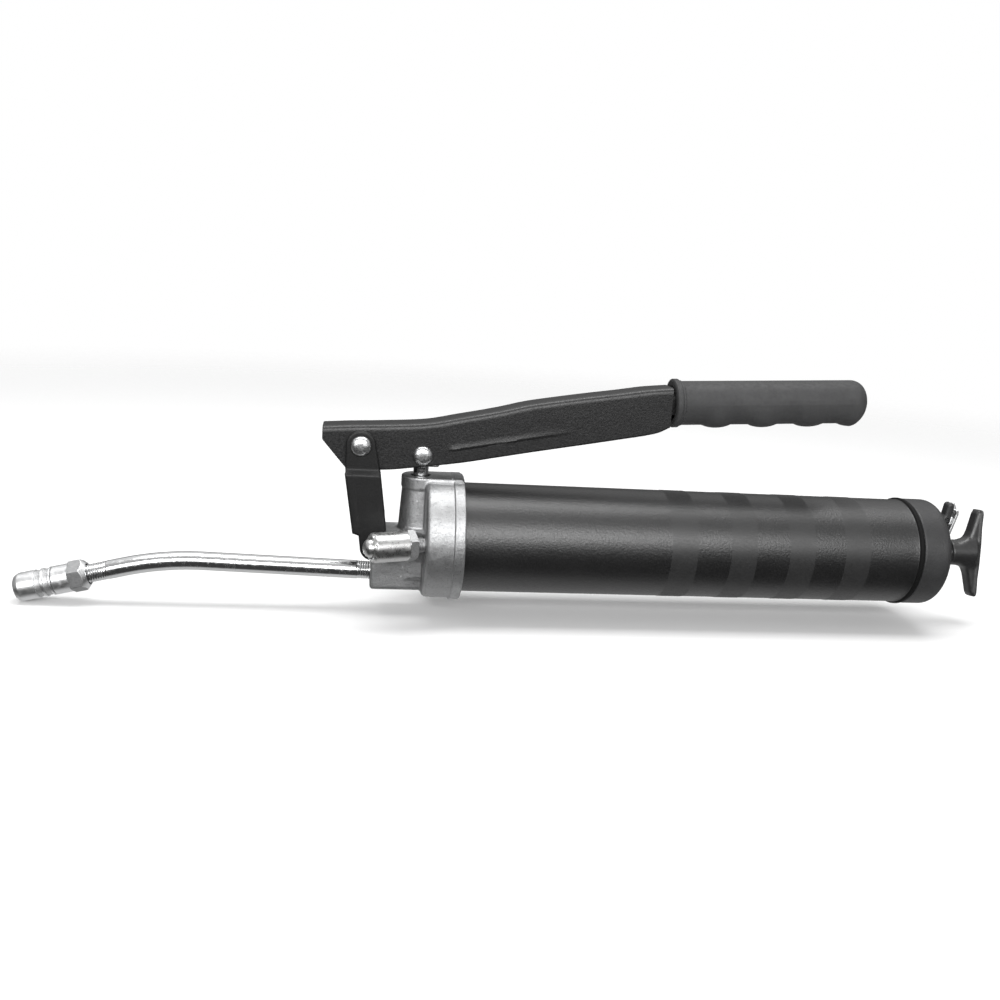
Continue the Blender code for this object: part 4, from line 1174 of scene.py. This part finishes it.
def coupler_sleeve():
    """Nose sleeve: two grooves left rough, a ridge between them and a rolled mouth."""
    profile = [(23.6, 5.9), (23.6, COUPLER_R), (24.5, COUPLER_R), (24.8, 6.7), (27.2, 6.7), (27.5, COUPLER_R),
               (28.6, COUPLER_R), (28.9, 6.6), (31.3, 6.6), (31.6, COUPLER_R), (39.6, COUPLER_R), (42.2, 6.0),
               (42.2, 4.2), (40.4, 4.2), (36.5, 5.9)]
    profile = rounded(profile, 0.25, {10: 1.2, 11: 1.3, 12: 0.5}, steps=5, closed=True)
    mesh = turned(profile, coupler_place(), 96)
    obj = piece("coupler_sleeve", mesh, [TURNED, GROOVED], "body", 40.0)

    def in_groove(centre, normal):
        return 24.7 < centre.z < 27.4 or 28.75 < centre.z < 31.45

    repaint(obj, coupler_place(), 1, in_groove)


def coupler_jaws():
    outline = rounded([(33.4, 4.0), (33.4, 5.5), (36.6, 5.5), (39.2, 4.5), (39.2, 3.35), (35.0, 3.35)], 0.25,
                      steps=3, closed=True)
    spread = math.radians(104.0)
    for number in range(3):
        middle = math.radians(90.0 + 120.0 * number)
        rings = []
        for i in range(25):
            angle = middle + spread * (i / 24 - 0.5)
            across, up = math.cos(angle), math.sin(angle)
            rings.append([coupler_place() @ Vector((radius * across, radius * up, along))
                          for along, radius in outline])
        piece(f"coupler_jaw_{number + 1}", skin(rings), [STEEL], "jaws")


def bleeder_body():
    def field(x, y, z):
        radial = norm(y, z)
        outline = [(-48.0, 0.0), (-48.0, 6.4), (-46.6, VALVE_R), (-29.7, VALVE_R), (-29.7, 0.0)]
        solid = outline_field(rounded(outline, 0.25, {0: 0.0, 4: 0.0}, closed=True), x, radial)
        ends = np.maximum(VALVE_HEX_FROM - x, x - VALVE_HEX_TO)
        nut = keep(hexagon(y, z, VALVE_HEX_R), ends, 0.15)
        nut = np.maximum(nut, (radial - VALVE_R + ends * HEX_BEVEL) * 0.5)
        turn = np.arctan2(z, y)
        turns = (x + turn / (2 * math.pi)) % 1.0
        stem = (radial - 3.75 + 0.35 * np.abs(2 * turns - 1)) * 0.8
        stem = np.maximum(stem, np.maximum(-26.4 - x, x + 14.7))
        solid = np.minimum(np.minimum(solid, nut), stem)
        bore = drum_field(radial, x, 5.1, -60.0, -40.0, 0.2)
        solid = carve(solid, np.minimum(bore, drum_field(radial, x, 4.3, -41.0, -31.0, 0.1)), 0.25)
        holes = 8
        notch = np.abs((turn * holes / (2 * math.pi)) % 1.0 - 0.5) * 2 * math.pi / holes * 6.9
        crimp = norm(notch, x + 47.4, radial - 7.2) - 0.62
        return carve(solid, crimp, 0.1)

    mesh = field_mesh(field, (-49.0, -9.2, -9.2), (-14.0, 9.2, 9.2), 0.27)
    mesh.transform(along_valve())
    obj = piece("bleeder_body", mesh, [NICKEL, FROSTED], "body", 35.0)
    repaint(obj, along_valve(), 1, lambda centre, normal: centre.x > VALVE_NUT_X)


def bleeder_button():
    dome = [(-48.0 - 3.8 * math.cos(math.radians(a)), 4.8 * math.sin(math.radians(a)))
            for a in range(0, 91, 6)]
    profile = dome + [(-43.2, 4.8), (-43.0, 4.6), (-43.0, 2.0), (-36.2, 2.0), (-36.0, 1.8), (-36.0, 0.0)]
    mesh = turned(profile, along_valve() @ along_x(), 72)
    piece("bleeder_button", mesh, [NICKEL], "button")


# ---------------------------------------------------------------- pieces inside keep their CAD shape

INNER = {
    "outlet_ball": STEEL, "outlet_spring": SPRING, "coupler_spring": SPRING, "coupler_seal": SEAL,
    "bleeder_spring": SPRING, "barrel_gasket": SEAL, "rod_bushing": NYLON, "latch_pin": STEEL,
    "follower_spring": SPRING, "follower_cup": SEAL, "follower_plate": PLATE, "rod_nut": PLATE,
}


def inner_pieces():
    for name, material in INNER.items():
        obj = frame["nodes"][name]
        obj.data.materials.clear()
        obj.data.materials.append(material)


# ---------------------------------------------------------------- floor, world and lights

def stage():
    """A pale floor that fades out to white well away from the object."""
    work = bmesh.new()
    bmesh.ops.create_circle(work, cap_ends=True, cap_tris=True, segments=96, radius=3.0)
    mesh = bpy.data.meshes.new("floor")
    work.to_mesh(mesh)
    work.free()
    floor = placed("floor", mesh)
    floor.location = (0.0, 0.0, -0.0002)
    floor.visible_glossy = False
    paint = bpy.data.materials.new("pale_floor")
    graph = Graph(paint)
    shader = graph.tree.nodes["Principled BSDF"]
    graph.fill(shader, {"Base Color": (0.86, 0.86, 0.86, 1.0), "Roughness": 0.9, "Specular IOR Level": 0.1})
    away = graph.node("VectorMath", {0: graph.node("TexCoord").outputs["Object"]}, operation="LENGTH")
    fade = graph.ramp(away.outputs["Value"], 0.45, 1.5)
    clear = graph.node("BsdfTransparent").outputs["BSDF"]
    mix = graph.node("MixShader", {"Fac": fade, 1: shader.outputs["BSDF"], 2: clear})
    graph.fill(graph.tree.nodes["Material Output"], {"Surface": mix.outputs["Shader"]})
    mesh.materials.append(paint)


# Brightness of the room by the sine of the height looked up to
ROOM_FRONT = ((-1.0, 0.60), (-0.95, 0.50), (-0.88, 0.05), (-0.02, 0.04), (0.04, 0.25), (0.35, 0.50),
              (0.75, 0.40), (1.0, 0.75))
ROOM_BACK = ((-1.0, 0.60), (-0.50, 0.48), (-0.30, 0.14), (0.0, 0.09), (0.25, 0.12), (0.38, 0.45),
             (0.60, 0.75), (1.0, 0.75))


def room_ramp(graph, height, stops):
    ramp = graph.node("ValToRGB", {"Fac": graph.ramp(height, -1.0, 1.0, shape="LINEAR")})
    elements = ramp.color_ramp.elements
    while len(elements) < len(stops):
        elements.new(0.5)
    for element, (sine, level) in zip(elements, stops):
        element.position = (sine + 1.0) / 2
        element.color = (level, level, level, 1.0)
    return ramp.outputs["Color"]


def world():
    """White to the eye; lights and reflects as a pale room, dark low down in front and at the back."""
    room = bpy.data.worlds.new("studio")
    bpy.context.scene.world = room
    graph = Graph(room)
    graph.tree.nodes.clear()
    direction = graph.node("SeparateXYZ", {0: graph.node("TexCoord").outputs["Generated"]}).outputs
    halves = {"Factor": graph.ramp(direction["Y"], -0.12, 0.12),
              "A": room_ramp(graph, direction["Z"], ROOM_FRONT),
              "B": room_ramp(graph, direction["Z"], ROOM_BACK)}
    blend = graph.node("Mix", halves, data_type="RGBA").outputs["Result"]
    lit = graph.node("Background", {"Color": blend}).outputs["Background"]
    seen = graph.node("Background", {"Color": (1.0, 1.0, 1.0, 1.0)}).outputs["Background"]
    to_eye = graph.node("LightPath").outputs["Is Camera Ray"]
    mix = graph.node("MixShader", {"Fac": to_eye, 1: lit, 2: seen}).outputs["Shader"]
    graph.node("OutputWorld", {"Surface": mix})


def softbox(name, place, target, width, height, power):
    data = bpy.data.lights.new(name, "AREA")
    data.shape = "RECTANGLE"
    data.size = width
    data.size_y = height
    data.energy = power
    light = placed(name, data)
    light.location = place
    light.rotation_euler = (Vector(target) - Vector(place)).to_track_quat("-Z", "Y").to_euler()


def lights():
    centre = (0.0, 0.0, 0.05)
    softbox("front_box", (-0.15, -1.3, 0.62), centre, 1.9, 0.55, 22.0)
    softbox("top_box", (0.0, 0.1, 1.4), centre, 1.6, 0.6, 16.0)
    bpy.context.scene.view_settings.view_transform = "Standard"


for build in (head_casting, plunger_seal, plunger, pins, link, lever, lever_grip, barrel, rear_cap,
              latch_plate, t_handle, follower_rod, delivery_pipe, coupler_body, coupler_sleeve,
              coupler_jaws, bleeder_body, bleeder_button, inner_pieces, stage, world, lights):
    build()
